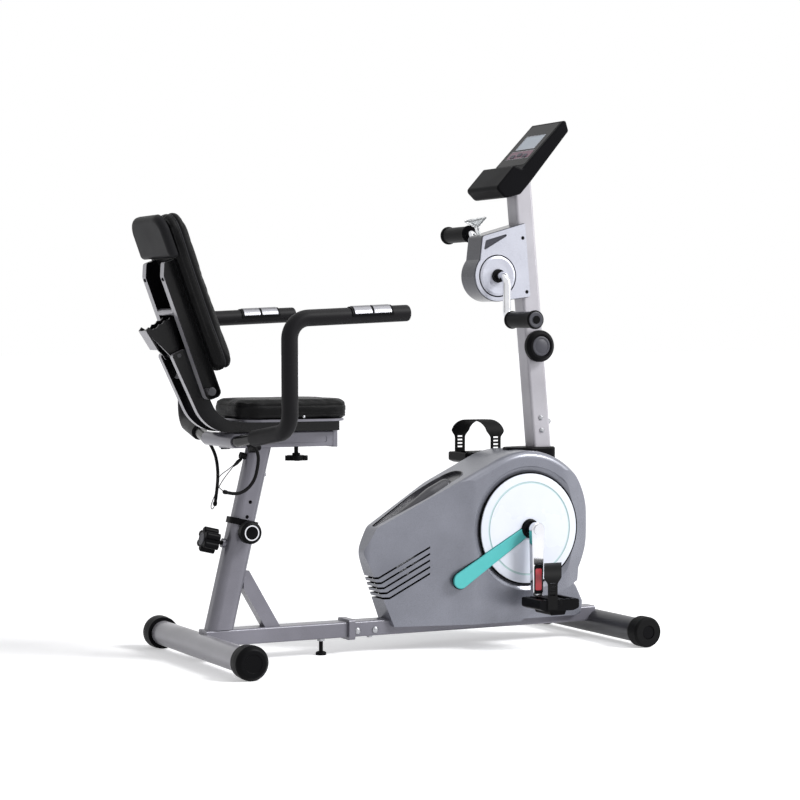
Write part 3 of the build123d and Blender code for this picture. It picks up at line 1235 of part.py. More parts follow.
def console_body():
    body = slab(console_outline(), -CONSOLE_HALF, CONSOLE_HALF)
    rims = [edge for edge in body.edges() if abs(edge.center().Y) > CONSOLE_HALF - 1]
    body = fillet(rims, 5)
    place = face_plane()
    face = RectangleRounded(152, 140, 10)
    body -= place * Pos(92, 0, -1.8) * extrude(face, 10)
    for up, left in key_places():
        body -= place * Pos(up, left, -9) * extrude(RectangleRounded(13, 21, 4), 12)
    return body - MAST_PLANE * extrude(RectangleRounded(MAST_WIDTH + 0.1, MAST_WIDTH + 0.1, MAST_CORNER),
                                       MAST_LENGTH + 0.05)


def console_face():
    """Black face plate with the window's recess and the keys' openings."""
    place = face_plane()
    plate = Pos(92, 0, -1.75) * extrude(RectangleRounded(151.4, 139.4, 9.7), 2.2)
    plate = chamfer(plate.faces().sort_by(Axis.Z)[-1].edges(), 0.6)
    plate -= Pos(WINDOW_UP, 0, -0.8) * extrude(RectangleRounded(48, 92, 3), 3)
    for up, left in key_places():
        plate -= Pos(up, left, -3) * extrude(RectangleRounded(13, 21, 4), 6)
    return Compound([*(place * plate).solids(), *console_window().solids()])


def console_window():
    return face_plane() * Pos(WINDOW_UP, 0, -0.78) * extrude(RectangleRounded(47.6, 91.6, 2.8), 1.1)


def console_key(index):
    up, left = key_places()[index]
    cap = extrude(RectangleRounded(12.2, 20.2, 3.7), 7.6)
    cap = chamfer(cap.faces().sort_by(Axis.Z)[-1].edges(), 0.7)
    return face_plane() * Pos(up, left, -5.6) * cap


def build_all():
    housing = housing_shell()
    halves = {
        "housing_right": split(housing, bisect_by=Plane.XZ, keep=Keep.TOP),
        "housing_left": split(housing, bisect_by=Plane.XZ, keep=Keep.BOTTOM),
    }
    nodes = {
        "rear_stabiliser": rear_stabiliser(), "rear_end_caps": rear_end_caps(), "rear_beam": rear_beam(),
        "front_beam": front_beam(), "frame_bolts": frame_bolts(),
        "front_stabiliser": front_stabiliser(), "wheel_right": wheel(-1), "wheel_left": wheel(1),
        "levelling_foot": levelling_foot(), "seat_sleeve": seat_sleeve(), "sleeve_collar": sleeve_collar(),
        "seat_brace": seat_brace(), "seat_post": seat_post(), "post_pull_knob": post_pull_knob(),
        "post_clamp_knob": post_clamp_knob(), "seat_rail": seat_rail(), "handlebars": handlebars(),
        "armrest_foam": armrest_foam(), "pulse_pads": pulse_pads(), "bar_knob_right": bar_knob(-1),
        "bar_knob_left": bar_knob(1), "lead_sheaths": lead_sheaths(), "lead_wires": lead_wires(),
        "lead_plugs": lead_plugs(), "seat_slider": seat_slider(), "back_arms": back_arms(),
        "seat_pan": seat_pan(), "seat_pad": seat_pad(), "back_frame": back_frame(),
        "back_cushion": back_cushion(),
        "back_shell": back_shell(), "prop_rack": prop_rack(), "rail_knob": rail_knob(), **halves,
        "scoop_insert": scoop_insert(), "housing_discs": housing_discs(), "foot_cover": foot_cover(),
        "mast_collar": mast_collar(), "drive_carrier": drive_carrier(), "flywheel": flywheel(),
        "drive_pulley": drive_pulley(), "drive_belt": drive_belt(), "crank_arms": crank_arms(),
        "crank_inserts": crank_inserts(), "pedal_right": pedal(-1), "pedal_left": pedal(1), "mast": mast(),
        "tension_knob": tension_knob(), "hand_core": hand_core(), "hand_covers": hand_covers(),
        "hand_crank": hand_crank(), "hand_grip_right": hand_grip(-1), "hand_grip_left": hand_grip(1),
        "bowl_knob": bowl_knob(), "console_body": console_body(), "console_face": console_face(),
    }
    for index in range(3):
        nodes[f"console_key_{index + 1}"] = console_key(index)
    return nodes


os.makedirs("parts", exist_ok=True)
for name, shape in build_all().items():
    placed = Pos(ORIGIN_SHIFT, 0, 0) * shape
    export_step(placed, f"parts/{name}.step")
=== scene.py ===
# %% [markdown]
# # Recumbent exercise bike: the looks
# Every tube, knob and shell of this model was drawn as an exact solid and packed. This lesson dresses those
# solids in Blender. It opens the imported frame, sets the camera and the pulse leads, makes the paints, plastics,
# foam and leatherette, and then builds the soft and fine pieces that the solids leave out.

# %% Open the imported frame
import json
import math
import bmesh
import bpy
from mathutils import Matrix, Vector
from mathutils.bvhtree import BVHTree


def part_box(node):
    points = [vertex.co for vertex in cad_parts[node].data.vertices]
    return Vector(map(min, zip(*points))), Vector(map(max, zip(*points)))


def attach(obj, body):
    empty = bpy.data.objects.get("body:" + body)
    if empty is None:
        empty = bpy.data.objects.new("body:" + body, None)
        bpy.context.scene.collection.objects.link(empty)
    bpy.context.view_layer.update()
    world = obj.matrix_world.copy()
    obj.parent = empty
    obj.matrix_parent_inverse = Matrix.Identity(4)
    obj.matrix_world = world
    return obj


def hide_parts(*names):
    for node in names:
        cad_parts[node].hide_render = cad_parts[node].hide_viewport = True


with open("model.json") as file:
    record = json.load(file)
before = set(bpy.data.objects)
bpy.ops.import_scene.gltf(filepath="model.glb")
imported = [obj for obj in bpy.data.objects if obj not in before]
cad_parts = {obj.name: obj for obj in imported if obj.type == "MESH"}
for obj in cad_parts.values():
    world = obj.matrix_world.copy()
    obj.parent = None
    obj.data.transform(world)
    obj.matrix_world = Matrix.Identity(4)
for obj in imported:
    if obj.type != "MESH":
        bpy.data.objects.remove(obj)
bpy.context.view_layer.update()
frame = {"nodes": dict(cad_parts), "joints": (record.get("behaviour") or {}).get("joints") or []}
joints = {joint["name"]: joint for joint in frame["joints"]}
crank_axle = Vector(joints["crank_spin"]["pos_m"])

# %% [markdown]
# The drawing is in millimetres and its origin lies 339 mm behind the crank axle, on the floor.
# One small function turns a drawn point into a place in the scene, with the axle itself as the anchor,
# so nothing has to be fitted by eye.

# %% Points of the drawing
AXLE_X_ON_DRAWING = 339


def drawn(x, y, z):
    """A point of the drawing, in millimetres, as a place in the scene."""
    return Vector((crank_axle.x + (x - AXLE_X_ON_DRAWING) / 1000, y / 1000, z / 1000))


print("origin of the drawing", tuple(drawn(0, 0, 0)))

# %% [markdown]
# The camera stands about five metres off the bike's right side and a little behind it, at waist height,
# with a long lens, which keeps upright tubes upright.

# %% Camera
camera_data = bpy.data.cameras.new("camera")
camera_data.sensor_width = 36
camera_data.lens = 98.5
camera = bpy.data.objects.new("camera", camera_data)
camera.location = (-2.3978, -4.8013, 0.7859)
camera.rotation_euler = [math.radians(angle) for angle in (88.182, 0, -26.895)]
bpy.context.scene.collection.objects.link(camera)
bpy.context.scene.camera = camera
print("camera", tuple(round(value, 3) for value in camera.location))

# %% [markdown]
# Two pulse leads hang under the seat: one from each armrest bar. Each is a soft rubber sheath 8 mm thick,
# out of which a thin twin wire loops back up to a plug on the seat post. A rubber lead bends in one sweep,
# so each is a NURBS curve through a few points that gravity explains: out of the bar, down, and round.

# %% Pulse leads
SHEATH_RADIUS = 0.004
WIRE_RADIUS = 0.001
SHEATH_RIGHT_ROUTE = [
    (-0.4193, -0.113, 0.5264), (-0.3985, -0.113, 0.517), (-0.3885, -0.113, 0.495),
    (-0.3915, -0.113, 0.466), (-0.3995, -0.114, 0.438), (-0.4195, -0.114, 0.415),
    (-0.4475, -0.112, 0.405), (-0.4745, -0.110, 0.413),
]
SHEATH_LEFT_ROUTE = [
    (-0.4241, 0.112, 0.5193), (-0.4085, 0.112, 0.496), (-0.3995, 0.112, 0.457),
    (-0.4005, 0.111, 0.411), (-0.4075, 0.112, 0.365),
]
WIRE_RIGHT_ROUTE = [
    (-0.4745, -0.110, 0.413), (-0.4875, -0.099, 0.425), (-0.4785, -0.076, 0.439),
    (-0.4545, -0.046, 0.450), (-0.4255, -0.020, 0.459), (-0.4055, -0.0085, 0.470),
]
WIRE_LEFT_ROUTE = [
    (-0.4075, 0.112, 0.365), (-0.4165, 0.104, 0.352), (-0.4285, 0.090, 0.362),
    (-0.4245, 0.071, 0.392), (-0.4165, 0.048, 0.424), (-0.4085, 0.024, 0.448),
    (-0.4025, 0.0085, 0.463),
]


def tube_along(name, kind, points, radius, roundness):
    """A round tube along a line of points, and the spline inside it.

    A curve's box counts the radius of its points, so the tube's radius is set there, over a bevel of one.
    """
    curve = bpy.data.curves.new(name, "CURVE")
    curve.dimensions = "3D"
    curve.bevel_depth = 1
    curve.bevel_resolution = roundness
    spline = curve.splines.new(kind)
    spline.points.add(len(points) - 1)
    for point, place in zip(spline.points, points):
        point.co = (*place, 1)
        point.radius = radius
    tube = bpy.data.objects.new(name, curve)
    bpy.context.scene.collection.objects.link(tube)
    return tube, spline


def hung_lead(name, route, radius):
    """A lead round one NURBS line, riding on the seat post."""
    lead, spline = tube_along(name, "NURBS", route, radius, 5)
    lead.data.use_fill_caps = True
    spline.order_u = 3
    spline.use_endpoint_u = True
    spline.resolution_u = 10
    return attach(lead, "post")


sheath_right = hung_lead("sheath_right", SHEATH_RIGHT_ROUTE, SHEATH_RADIUS)
sheath_left = hung_lead("sheath_left", SHEATH_LEFT_ROUTE, SHEATH_RADIUS)
wire_right = hung_lead("wire_right", WIRE_RIGHT_ROUTE, WIRE_RADIUS)
wire_left = hung_lead("wire_left", WIRE_LEFT_ROUTE, WIRE_RADIUS)
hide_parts("lead_sheaths")
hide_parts("lead_wires")
print("leads", sheath_right.name, sheath_left.name, wire_right.name, wire_left.name)

# %% [markdown]
# Colours are written as they look on a screen, as hex values. Light adds up in linear numbers,
# so one function turns a hex value to linear before a shader sees it. A second small function adds
# a shader node with its settings and links, which keeps each material short enough to read.

# %% Colour and node helpers


def linear(hex_value):
    """An sRGB hex colour as linear red, green, blue and alpha."""
    channels = [int(hex_value[i:i + 2], 16) / 255 for i in (1, 3, 5)]
    return [c / 12.92 if c <= 0.04045 else ((c + 0.055) / 1.055) ** 2.4 for c in channels] + [1]


def add_node(tree, kind, settings=None, links=None):
    """One node: keys with a capital or a number are sockets, and the others are the node's own settings."""
    node = tree.nodes.new(kind)
    for key, value in (settings or {}).items():
        if isinstance(key, int) or key[0].isupper():
            node.inputs[key].default_value = value
        else:
            setattr(node, key, value)
    for key, (source, output) in (links or {}).items():
        tree.links.new(source.outputs[output], node.inputs[key])
    return node


def empty_material(name):
    """A material with nothing in it, its tree, and the place on the surface in object space."""
    material = bpy.data.materials.new(name)
    material.use_nodes = True
    tree = material.node_tree
    tree.nodes.clear()
    return material, tree, (add_node(tree, "ShaderNodeTexCoord"), "Object")


def close_material(tree, shader):
    """Joins the finished shader to the material's output."""
    add_node(tree, "ShaderNodeOutputMaterial", links={"Surface": (shader, 0)})


print("linear of mid grey", [round(value, 3) for value in linear("#808080")])

# %% [markdown]
# Five steps come back in nearly every material: a noise pattern, two colours mixed by it, a number that varies
# with it, a relief made from it, and the shader that takes them all. A pattern's scale is one over its size in
# metres. Each step gives back its node with the output to link from.

# %% Steps that the materials share


def noise(tree, place, scale, detail, distortion=0.0):
    """A soft random pattern."""
    settings = {"Scale": scale, "Detail": detail, "Distortion": distortion}
    return add_node(tree, "ShaderNodeTexNoise", settings, {"Vector": place}), "Fac"


def two_tone(tree, factor, low, high):
    """A mix of two hex colours."""
    settings = {"data_type": "RGBA", 6: linear(low), 7: linear(high)}
    return add_node(tree, "ShaderNodeMix", settings, {"Factor": factor}), 2


def spread(tree, value, low, high):
    """A number that goes from low to high as value goes from 0 to 1."""
    return add_node(tree, "ShaderNodeMapRange", {"To Min": low, "To Max": high}, {"Value": value}), 0


def relief_from(tree, height, strength, distance, under=None):
    """A relief of the given height in metres, over another one where there is one."""
    links = {"Height": height, **({"Normal": under} if under else {})}
    return add_node(tree, "ShaderNodeBump", {"Strength": strength, "Distance": distance}, links), 0


def close_principled(tree, settings, links):
    """Ends a material with one principled shader."""
    close_material(tree, add_node(tree, "ShaderNodeBsdfPrincipled", settings, links))


print("shared steps ready")

# %% [markdown]
# Most of the bike is steel tube in silver powder coat. The powder is blown on dry and melts in an oven, so it
# levels almost flat but keeps a soft "orange peel" about 2.5 mm across. Tiny aluminium flakes in it catch the
# light, which makes it brighter where it faces a lamp and gives a fine sparkle. The same oven process with other
# powders makes the lighter mast and the darker front foot. Real flakes are 0.05 mm, too fine to show, so they
# are drawn 0.9 mm across.

# %% Metallic paints
PEEL_MM = 2.5
FLAKE_MM = 0.9
CLOUD_MM = 140


def metallic_paint(name, face, shade, metallic, roughness, coat):
    """Flake paint: two near colours in soft clouds, sparkle in the roughness, orange peel in the relief."""
    material, tree, place = empty_material(name)
    cloud = noise(tree, place, 1000 / CLOUD_MM, 3)
    flake = add_node(tree, "ShaderNodeTexVoronoi", {"Scale": 1000 / FLAKE_MM}, {"Vector": place}), "Distance"
    peel = noise(tree, place, 1000 / PEEL_MM, 1)
    both = add_node(tree, "ShaderNodeMath", {"operation": "MULTIPLY_ADD", 1: 0.3},
                    {0: flake, 2: cloud})
    colour = add_node(tree, "ShaderNodeValToRGB", links={"Fac": (both, 0)})
    colour.color_ramp.elements[0].position = 0.4
    colour.color_ramp.elements[0].color = linear(shade)
    colour.color_ramp.elements[1].position = 0.85
    colour.color_ramp.elements[1].color = linear(face)
    rough = spread(tree, flake, roughness - 0.07, roughness + 0.07)
    relief = relief_from(tree, peel, 0.12, 0.0004)
    close_principled(tree, {"Metallic": metallic, "Coat Weight": coat, "Coat Roughness": 0.12},
                     {"Base Color": (colour, 0), "Roughness": rough, "Normal": relief})
    return material


silver_powder_coat = metallic_paint("silver_powder_coat", "#7b7a83", "#65646c", 0.3, 0.34, 0.1)
bright_powder_coat = metallic_paint("bright_powder_coat", "#a9a8ad", "#939298", 0.3, 0.34, 0.1)
mast_powder_coat = metallic_paint("mast_powder_coat", "#b4b2b8", "#a09ea4", 0.25, 0.38, 0.1)
dark_powder_coat = metallic_paint("dark_powder_coat", "#414145", "#313135", 0.25, 0.4, 0.1)
painted_abs_shell = metallic_paint("painted_abs_shell", "#83858f", "#6f717a", 0.35, 0.3, 0.2)
silver_abs_shell = metallic_paint("silver_abs_shell", "#c3c5d0", "#b0b2bd", 0.3, 0.28, 0.2)
grey_abs_core = metallic_paint("grey_abs_core", "#42434c", "#2f3038", 0.45, 0.26, 0.25)
scoop_abs = metallic_paint("scoop_abs", "#414146", "#2f2f33", 0.25, 0.3, 0.15)
print("paints", [material.name for material in bpy.data.materials])

# %% [markdown]
# The knobs, caps, pedals, console and seat shell are black plastic, moulded against spark-eroded steel.
# The eroded tool leaves a fine even grain, which breaks the highlight into a soft haze. Polished tools leave the
# console face and the white side discs glossy. Grain this fine is drawn 1.1 mm across so that it shows.

# %% Moulded plastics
GRAIN_MM = 1.1


def moulded_plastic(name, face, shade, roughness, relief_mm, mirror=0.5, sheen=0.0, grain_mm=GRAIN_MM):
    """Moulded plastic or rubber: an even tool grain, a slight change of tone, and handling marks in the gloss.

    The mirror setting is how much the bare surface reflects: 0.5 is polished plastic, and less is duller.
    """
    material, tree, place = empty_material(name)
    tone = noise(tree, place, 14, 4)
    grain = noise(tree, place, 1000 / grain_mm, 2)
    colour = two_tone(tree, tone, shade, face)
    rough = spread(tree, tone, roughness - 0.08, roughness + 0.08)
    relief = relief_from(tree, grain, 0.35, relief_mm / 1000)
    close_principled(tree, {"Specular IOR Level": mirror, "Sheen Weight": sheen},
                     {"Base Color": colour, "Roughness": rough, "Normal": relief})
    return material


black_abs = moulded_plastic("black_abs", "#0d0d0f", "#08080a", 0.42, 0.15, 0.06)
black_shell_pp = moulded_plastic("black_shell_pp", "#1e1e20", "#19191b", 0.5, 0.2, 0.1)
gloss_black_acrylic = moulded_plastic("gloss_black_acrylic", "#07070a", "#040406", 0.16, 0.01, 0.07)
grey_console_abs = moulded_plastic("grey_console_abs", "#101013", "#0a0a0c", 0.4, 0.1, 0.04)
# Near-black plastic as painted shade: inside the housing, on the board behind the vents, and in the gaps round the
# covers.
painted_shade_pp = moulded_plastic("painted_shade_pp", "#0d0d0f", "#080809", 0.6, 0.1, 0.06)
matt_rubber = moulded_plastic("matt_rubber", "#0d0d0e", "#080809", 0.6, 0.2, 0.1)
handle_foam = moulded_plastic("handle_foam", "#100f12", "#0a090c", 0.5, 0.4, 0.14, 0.02, 1.8)
black_tube_paint = moulded_plastic("black_tube_paint", "#0d0d10", "#070709", 0.25, 0.05, 0.28)
red_abs = moulded_plastic("red_abs", "#c2444c", "#ab3840", 0.34, 0.06)
teal_abs = moulded_plastic("teal_abs", "#5cc0bf", "#4eb3b2", 0.34, 0.04, 0.35)
white_abs = moulded_plastic("white_abs", "#f0f3fa", "#e6eaf4", 0.3, 0.04)
grey_key_rubber = moulded_plastic("grey_key_rubber", "#5b5a63", "#4a4952", 0.5, 0.08, 0.2)
grey_knob_face = moulded_plastic("grey_knob_face", "#4d4d54", "#3f3f45", 0.4, 0.08, 0.25)
seam_thread = moulded_plastic("seam_thread", "#343438", "#29292c", 0.5, 0.05, 0.2)
print("plastics done")

# %% [markdown]
# Bare metal comes in four kinds here: chromium plate on the pedal arms and hand rods, zinc plate on bolts,
# stainless pulse plates rolled with a fine grain, and cast iron in the flywheel. A metal has no colour under its
# surface: all of it is reflection, so the roughness does the work.

# %% Metals


def bare_metal(name, face, shade, roughness, swing, stretch, grain_mm, relief_mm):
    """Metal with its finishing marks: stretch pulls the grain along X, as rolling or brushing does."""
    material, tree, place = empty_material(name)
    turn = add_node(tree, "ShaderNodeMapping", {"Scale": (1 / stretch, 1, 1)}, {"Vector": place})
    marks = noise(tree, (turn, 0), 1000 / grain_mm, 4)
    colour = two_tone(tree, marks, shade, face)
    rough = spread(tree, marks, roughness - swing, roughness + swing)
    relief = relief_from(tree, marks, 0.3, relief_mm / 1000)
    close_principled(tree, {"Metallic": 1.0},
                     {"Base Color": colour, "Roughness": rough, "Normal": relief})
    return material


chrome_plate = bare_metal("chrome_plate", "#e6e7ea", "#d4d5da", 0.12, 0.05, 1, 30, 0.01)
zinc_plate = bare_metal("zinc_plate", "#b4b5b8", "#94959a", 0.34, 0.08, 1, 4, 0.03)
rolled_stainless = bare_metal("rolled_stainless", "#8e8e92", "#6c6c71", 0.3, 0.08, 12, 1.2, 0.02)
cast_iron = bare_metal("cast_iron", "#4a4a4c", "#343436", 0.55, 0.1, 1, 1.6, 0.3)
print("metals done")

# %% [markdown]
# The seat and backrest covers are leatherette: woven cloth with a vinyl face, pressed with a leather grain
# while warm. Real grain cells are about 1.5 mm. The cells give the bump, the creases between them stay a little
# duller, and slow folds show where the cover is pulled over the foam.

# %% Leatherette
LEATHER_CELL_MM = 1.6


def pressed_leatherette(name, face, crease):
    """Vinyl leather: cells for the relief, darker and duller creases, and a slow ripple."""
    material, tree, place = empty_material(name)
    cells = add_node(tree, "ShaderNodeTexVoronoi",
                     {"feature": "DISTANCE_TO_EDGE", "Scale": 1000 / LEATHER_CELL_MM, "Randomness": 0.95},
                     {"Vector": place})
    ripple = noise(tree, place, 38, 5, 0.6)
    edge = add_node(tree, "ShaderNodeMapRange", {"From Max": 0.22}, {"Value": (cells, "Distance")})
    colour = two_tone(tree, (edge, 0), crease, face)
    rough = spread(tree, (edge, 0), 0.52, 0.38)
    slow = relief_from(tree, ripple, 0.5, 0.002)
    relief = relief_from(tree, (edge, 0), 0.4, 0.0003, under=slow)
    close_principled(tree, {"Specular IOR Level": 0.1},
                     {"Base Color": colour, "Roughness": rough, "Normal": relief})
    return material


leatherette = pressed_leatherette("leatherette", "#0d0d0e", "#060607")
print("leatherette cell", LEATHER_CELL_MM, "mm")

# %% [markdown]
# Two plastics need a recipe of their own. The knob on the hand unit is clear polystyrene, which bends light
# like glass. The big side discs are white with a pale blue ring printed on them, so that shader measures its
# distance from the crank axle and swaps colour in a narrow band.

# %% Clear plastic and the ringed disc
RING_RADIUS_MM = 115
RING_WIDTH_MM = 5


def clear_polystyrene(name):
    """Clear moulded plastic with faint flow marks."""
    material, tree, place = empty_material(name)
    flow = noise(tree, place, 60, 2)
    rough = spread(tree, flow, 0.03, 0.1)
    relief = relief_from(tree, flow, 0.1, 0.001)
    close_principled(tree, {"Base Color": linear("#eef1f2"), "IOR": 1.55, "Transmission Weight": 0.85},
                     {"Roughness": rough, "Normal": relief})
    return material


def ringed_white_abs(name, axle):
    """Glossy white plastic with a printed ring round the axle."""
    material, tree, place = empty_material(name)
    flat = add_node(tree, "ShaderNodeVectorMath", {"operation": "MULTIPLY", 1: (1, 0, 1)}, {0: place})
    reach = add_node(tree, "ShaderNodeVectorMath", {"operation": "DISTANCE", 1: (axle.x, 0, axle.z)}, {0: (flat, 0)})
    off = add_node(tree, "ShaderNodeMath", {"operation": "SUBTRACT", 1: RING_RADIUS_MM / 1000}, {0: (reach, "Value")})
    gap = add_node(tree, "ShaderNodeMath", {"operation": "ABSOLUTE"}, {0: (off, 0)})
    ring = add_node(tree, "ShaderNodeMath", {"operation": "LESS_THAN", 1: RING_WIDTH_MM / 2000}, {0: (gap, 0)})
    tone = noise(tree, place, 12, 3)
    white = two_tone(tree, tone, "#dde2ee", "#e8ecf5")
    colour = add_node(tree, "ShaderNodeMix", {"data_type": "RGBA", 7: linear("#bcd3d4")},
                      {"Factor": (ring, 0), 6: white}), 2
    rough = spread(tree, tone, 0.2, 0.34)
    close_principled(tree, {"IOR": 1.5}, {"Base Color": colour, "Roughness": rough})
    return material


clear_knob_plastic = clear_polystyrene("clear_knob_plastic")
ringed_disc_plastic = ringed_white_abs("ringed_disc_plastic", crank_axle)
print("ring", RING_RADIUS_MM, "mm from the axle")

# %% [markdown]
# Now each solid gets its finish. A table from finish to nodes is easier to check than forty separate lines.
# Nodes that later cells take apart, or cover with something softer, get their finishes there.

# %% Finishes of the solids
FINISHES = {
    silver_powder_coat: ["rear_beam", "front_beam", "seat_sleeve", "seat_brace", "seat_post", "seat_rail",
                         "seat_slider", "seat_pan"],
    bright_powder_coat: ["rear_stabiliser"],
    mast_powder_coat: ["mast"],
    painted_abs_shell: ["housing_right", "housing_left", "foot_cover"],
    silver_abs_shell: ["hand_covers"],
    grey_abs_core: ["hand_core"],
    scoop_abs: ["scoop_insert"],
    grey_console_abs: ["console_body"],
    black_abs: ["rear_end_caps", "sleeve_collar", "post_pull_knob", "post_clamp_knob", "bar_knob_right",
                "bar_knob_left", "rail_knob", "mast_collar", "tension_knob", "hand_grip_right",
                "hand_grip_left", "levelling_foot"],
    black_shell_pp: ["back_shell"],
    matt_rubber: ["wheel_right", "wheel_left", "drive_belt"],
    black_tube_paint: ["handlebars"],
    chrome_plate: ["crank_arms", "hand_crank"],
    zinc_plate: ["frame_bolts", "drive_carrier"],
    cast_iron: ["flywheel"],
    red_abs: ["crank_inserts"],
    grey_key_rubber: ["console_key_1", "console_key_2", "console_key_3"],
    clear_knob_plastic: ["bowl_knob"],
    white_abs: ["drive_pulley"],
}


def paint_piece(piece, material):
    """Gives a piece one finish."""
    piece.data.materials.clear()
    piece.data.materials.append(material)
    return piece


for material, nodes in FINISHES.items():
    for node in nodes:
        paint_piece(frame["nodes"][node], material)
for lead in (sheath_right, sheath_left, wire_right, wire_left):
    lead.data.materials.append(matt_rubber)
print("solids finished", sum(len(nodes) for nodes in FINISHES.values()))

# %% [markdown]
# Some nodes hold several small solids of different stuff, such as a pedal's body and its strap. This function copies
# a node, joins the points that were split for shading, merges flat facets, and parts the copy into its loose pieces,
# so that each can be given its own finish. The copies sit exactly where the solid is.

# %% Parting a node into its pieces


def mesh_object(name, points, faces, sharp_degrees=None):
    """A mesh as a new object: faceted, or smooth up to the given angle between its faces."""
    data = bpy.data.meshes.new(name)
    data.from_pydata([point[:] for point in points], [], faces)
    if sharp_degrees:
        data.polygons.foreach_set("use_smooth", [True] * len(data.polygons))
        data.set_sharp_from_angle(angle=math.radians(sharp_degrees))
    thing = bpy.data.objects.new(name, data)
    bpy.context.scene.collection.objects.link(thing)
    return thing


def part_node(node, body):
    """The loose pieces of a node as new objects, largest first. They stand for the node."""
    mesh = bmesh.new()
    mesh.from_mesh(frame["nodes"][node].data)
    bmesh.ops.remove_doubles(mesh, verts=mesh.verts, dist=1e-6)
    bmesh.ops.dissolve_limit(mesh, angle_limit=math.radians(0.5), verts=mesh.verts, edges=mesh.edges)
    left, groups = set(mesh.faces), []
    while left:
        group, edge_of_group = set(), [left.pop()]
        while edge_of_group:
            face = edge_of_group.pop()
            group.add(face)
            near = {other for edge in face.edges for other in edge.link_faces} & left
            left -= near
            edge_of_group += near
        groups.append(group)
    pieces = []
    for group in sorted(groups, key=lambda faces: -sum(face.calc_area() for face in faces)):
        points = sorted({point for face in group for point in face.verts}, key=lambda point: point.index)
        number = {point: index for index, point in enumerate(points)}
        faces = [[number[point] for point in face.verts] for face in group]
        piece = mesh_object(f"{node}_{len(pieces) + 1}", [point.co for point in points], faces, 35)
        pieces.append(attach(piece, body))
    mesh.free()
    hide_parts(node)
    return pieces


def middle(piece):
    """The middle of a piece's box."""
    corners = [piece.matrix_world @ Vector(corner) for corner in piece.bound_box]
    return sum(corners, Vector()) / 8


def paint_where(piece, material, test):
    """Adds a second finish on the faces whose middle and outward direction pass the test."""
    piece.data.materials.append(material)
    last = len(piece.data.materials) - 1
    for face in piece.data.polygons:
        if test(face.center, face.normal):
            face.material_index = last
    return piece


print("helpers for parting ready")

# %% [markdown]
# On each side of the drive housing sits a white disc, a teal arm cover and the black cup round the crank axle.
# The six pieces come out of one node, largest first: two discs, two arm covers, two cups.

# %% Side discs, arm covers and axle cups
side_pieces = part_node("housing_discs", "frame")
for piece, material in zip(side_pieces, [ringed_disc_plastic] * 2 + [teal_abs] * 2 + [black_abs] * 2):
    paint_piece(piece, material)
print("side pieces", [piece.name for piece in side_pieces])

# %% [markdown]
# The pulse plates are the bright saddles that a hand rests on: a black plastic bed with two stainless plates.
# The pedals are hard black plastic with a rubber strap. The console's face is one glossy sheet with a window.
# The front foot is a dark tube with a black plug and wheel pin in each end.

# %% Pulse plates, pedals, console face and front foot
pulse_pieces = part_node("pulse_pads", "post")
for piece, material in zip(pulse_pieces, [black_abs] * 2 + [rolled_stainless] * 4):
    paint_piece(piece, material)
for side, body in (("right", "pedal_r"), ("left", "pedal_l")):
    for piece, material in zip(part_node(f"pedal_{side}", body), (black_abs, matt_rubber)):
        paint_piece(piece, material)
face_plate, window = part_node("console_face", "frame")
paint_piece(face_plate, gloss_black_acrylic)
foot_pieces = part_node("front_stabiliser", "frame")
for piece, material in zip(foot_pieces, (dark_powder_coat, black_abs, black_abs)):
    paint_piece(piece, material)
print("pulse pieces", len(pulse_pieces), "foot pieces", len(foot_pieces))

# %% [markdown]
# The bars behind the backrest are flat steel pressings with black broad sides. Their narrow rear faces, and those of
# the arms and the rack, get the bright silver coat as a painted highlight where they catch the light. The crossbar
# that the rack holds is bright all round, and so is the small tab between the arms.

# %% Backrest bars, arms and rack
BACK_LEAN = math.radians(20.4)
back_pivot = Vector(joints["back_recline"]["pos_m"])
back_out = Vector((math.cos(BACK_LEAN), 0, math.sin(BACK_LEAN)))
back_along = Vector((-math.sin(BACK_LEAN), 0, math.cos(BACK_LEAN)))


def on_bar_highlight_or_crossbar(spot, facing):
    """True on a bar's narrow rear face, for its painted highlight, but not in the channel in front of it, and all
    round the crossbar.
    """
    rear = facing.dot(-back_out) > 0.3 and (spot - back_pivot).dot(back_out) < 0.004
    crossbar = abs(spot.y) < 0.046 and abs(facing.y) < 0.5
    return rear or crossbar


def on_arm_painted_highlight(spot, facing):
    """True on an arm's narrow rear face, which gets a painted highlight."""
    return abs(facing.y) < 0.5 and facing.x < -0.3


def on_rack_painted_highlight(spot, facing):
    """True on the rack's rear face, which looks down and gets a painted highlight."""
    return abs(facing.y) < 0.5 and facing.x < -0.5 and facing.z < 0


bars, = part_node("back_frame", "back")
# Painted highlight: the bright coat goes on the rear faces of the bars, the arms and the rack.
paint_where(paint_piece(bars, black_tube_paint), bright_powder_coat, on_bar_highlight_or_crossbar)
arm_pieces = part_node("back_arms", "seat")
ARM_FINISHES = (black_tube_paint, black_tube_paint, dark_powder_coat, bright_powder_coat, dark_powder_coat)
for piece, material in zip(arm_pieces, ARM_FINISHES):
    paint_piece(piece, material)
for piece in arm_pieces[:2]:
    paint_where(piece, bright_powder_coat, on_arm_painted_highlight)
rack, = part_node("prop_rack", "rack")
paint_where(paint_piece(rack, black_tube_paint), bright_powder_coat, on_rack_painted_highlight)
print("bars", bars.name, "arms", [piece.name for piece in arm_pieces], "rack", rack.name)

# %% [markdown]
# The housing halves are grey outside only. Every face that looks into them gets a near-black plastic as painted
# shade, so that the vents and hollows read as black lines. A face belongs to the inside when a line straight out from
# it meets the housing again. A thin near-black board between the halves is painted shade too: it stops light from
# passing straight through the vents.

# %% Housing, with painted shade inside
HOUSING_NODES = ("housing_right", "housing_left")
VENT_SHADE_BOARD = ((-80, 242), (-50, 296), (12, 332), (12, 84), (-12, 84))
VENT_SHADE_BOARD_HALF_MM = 1
JUST_OFF = 0.0005


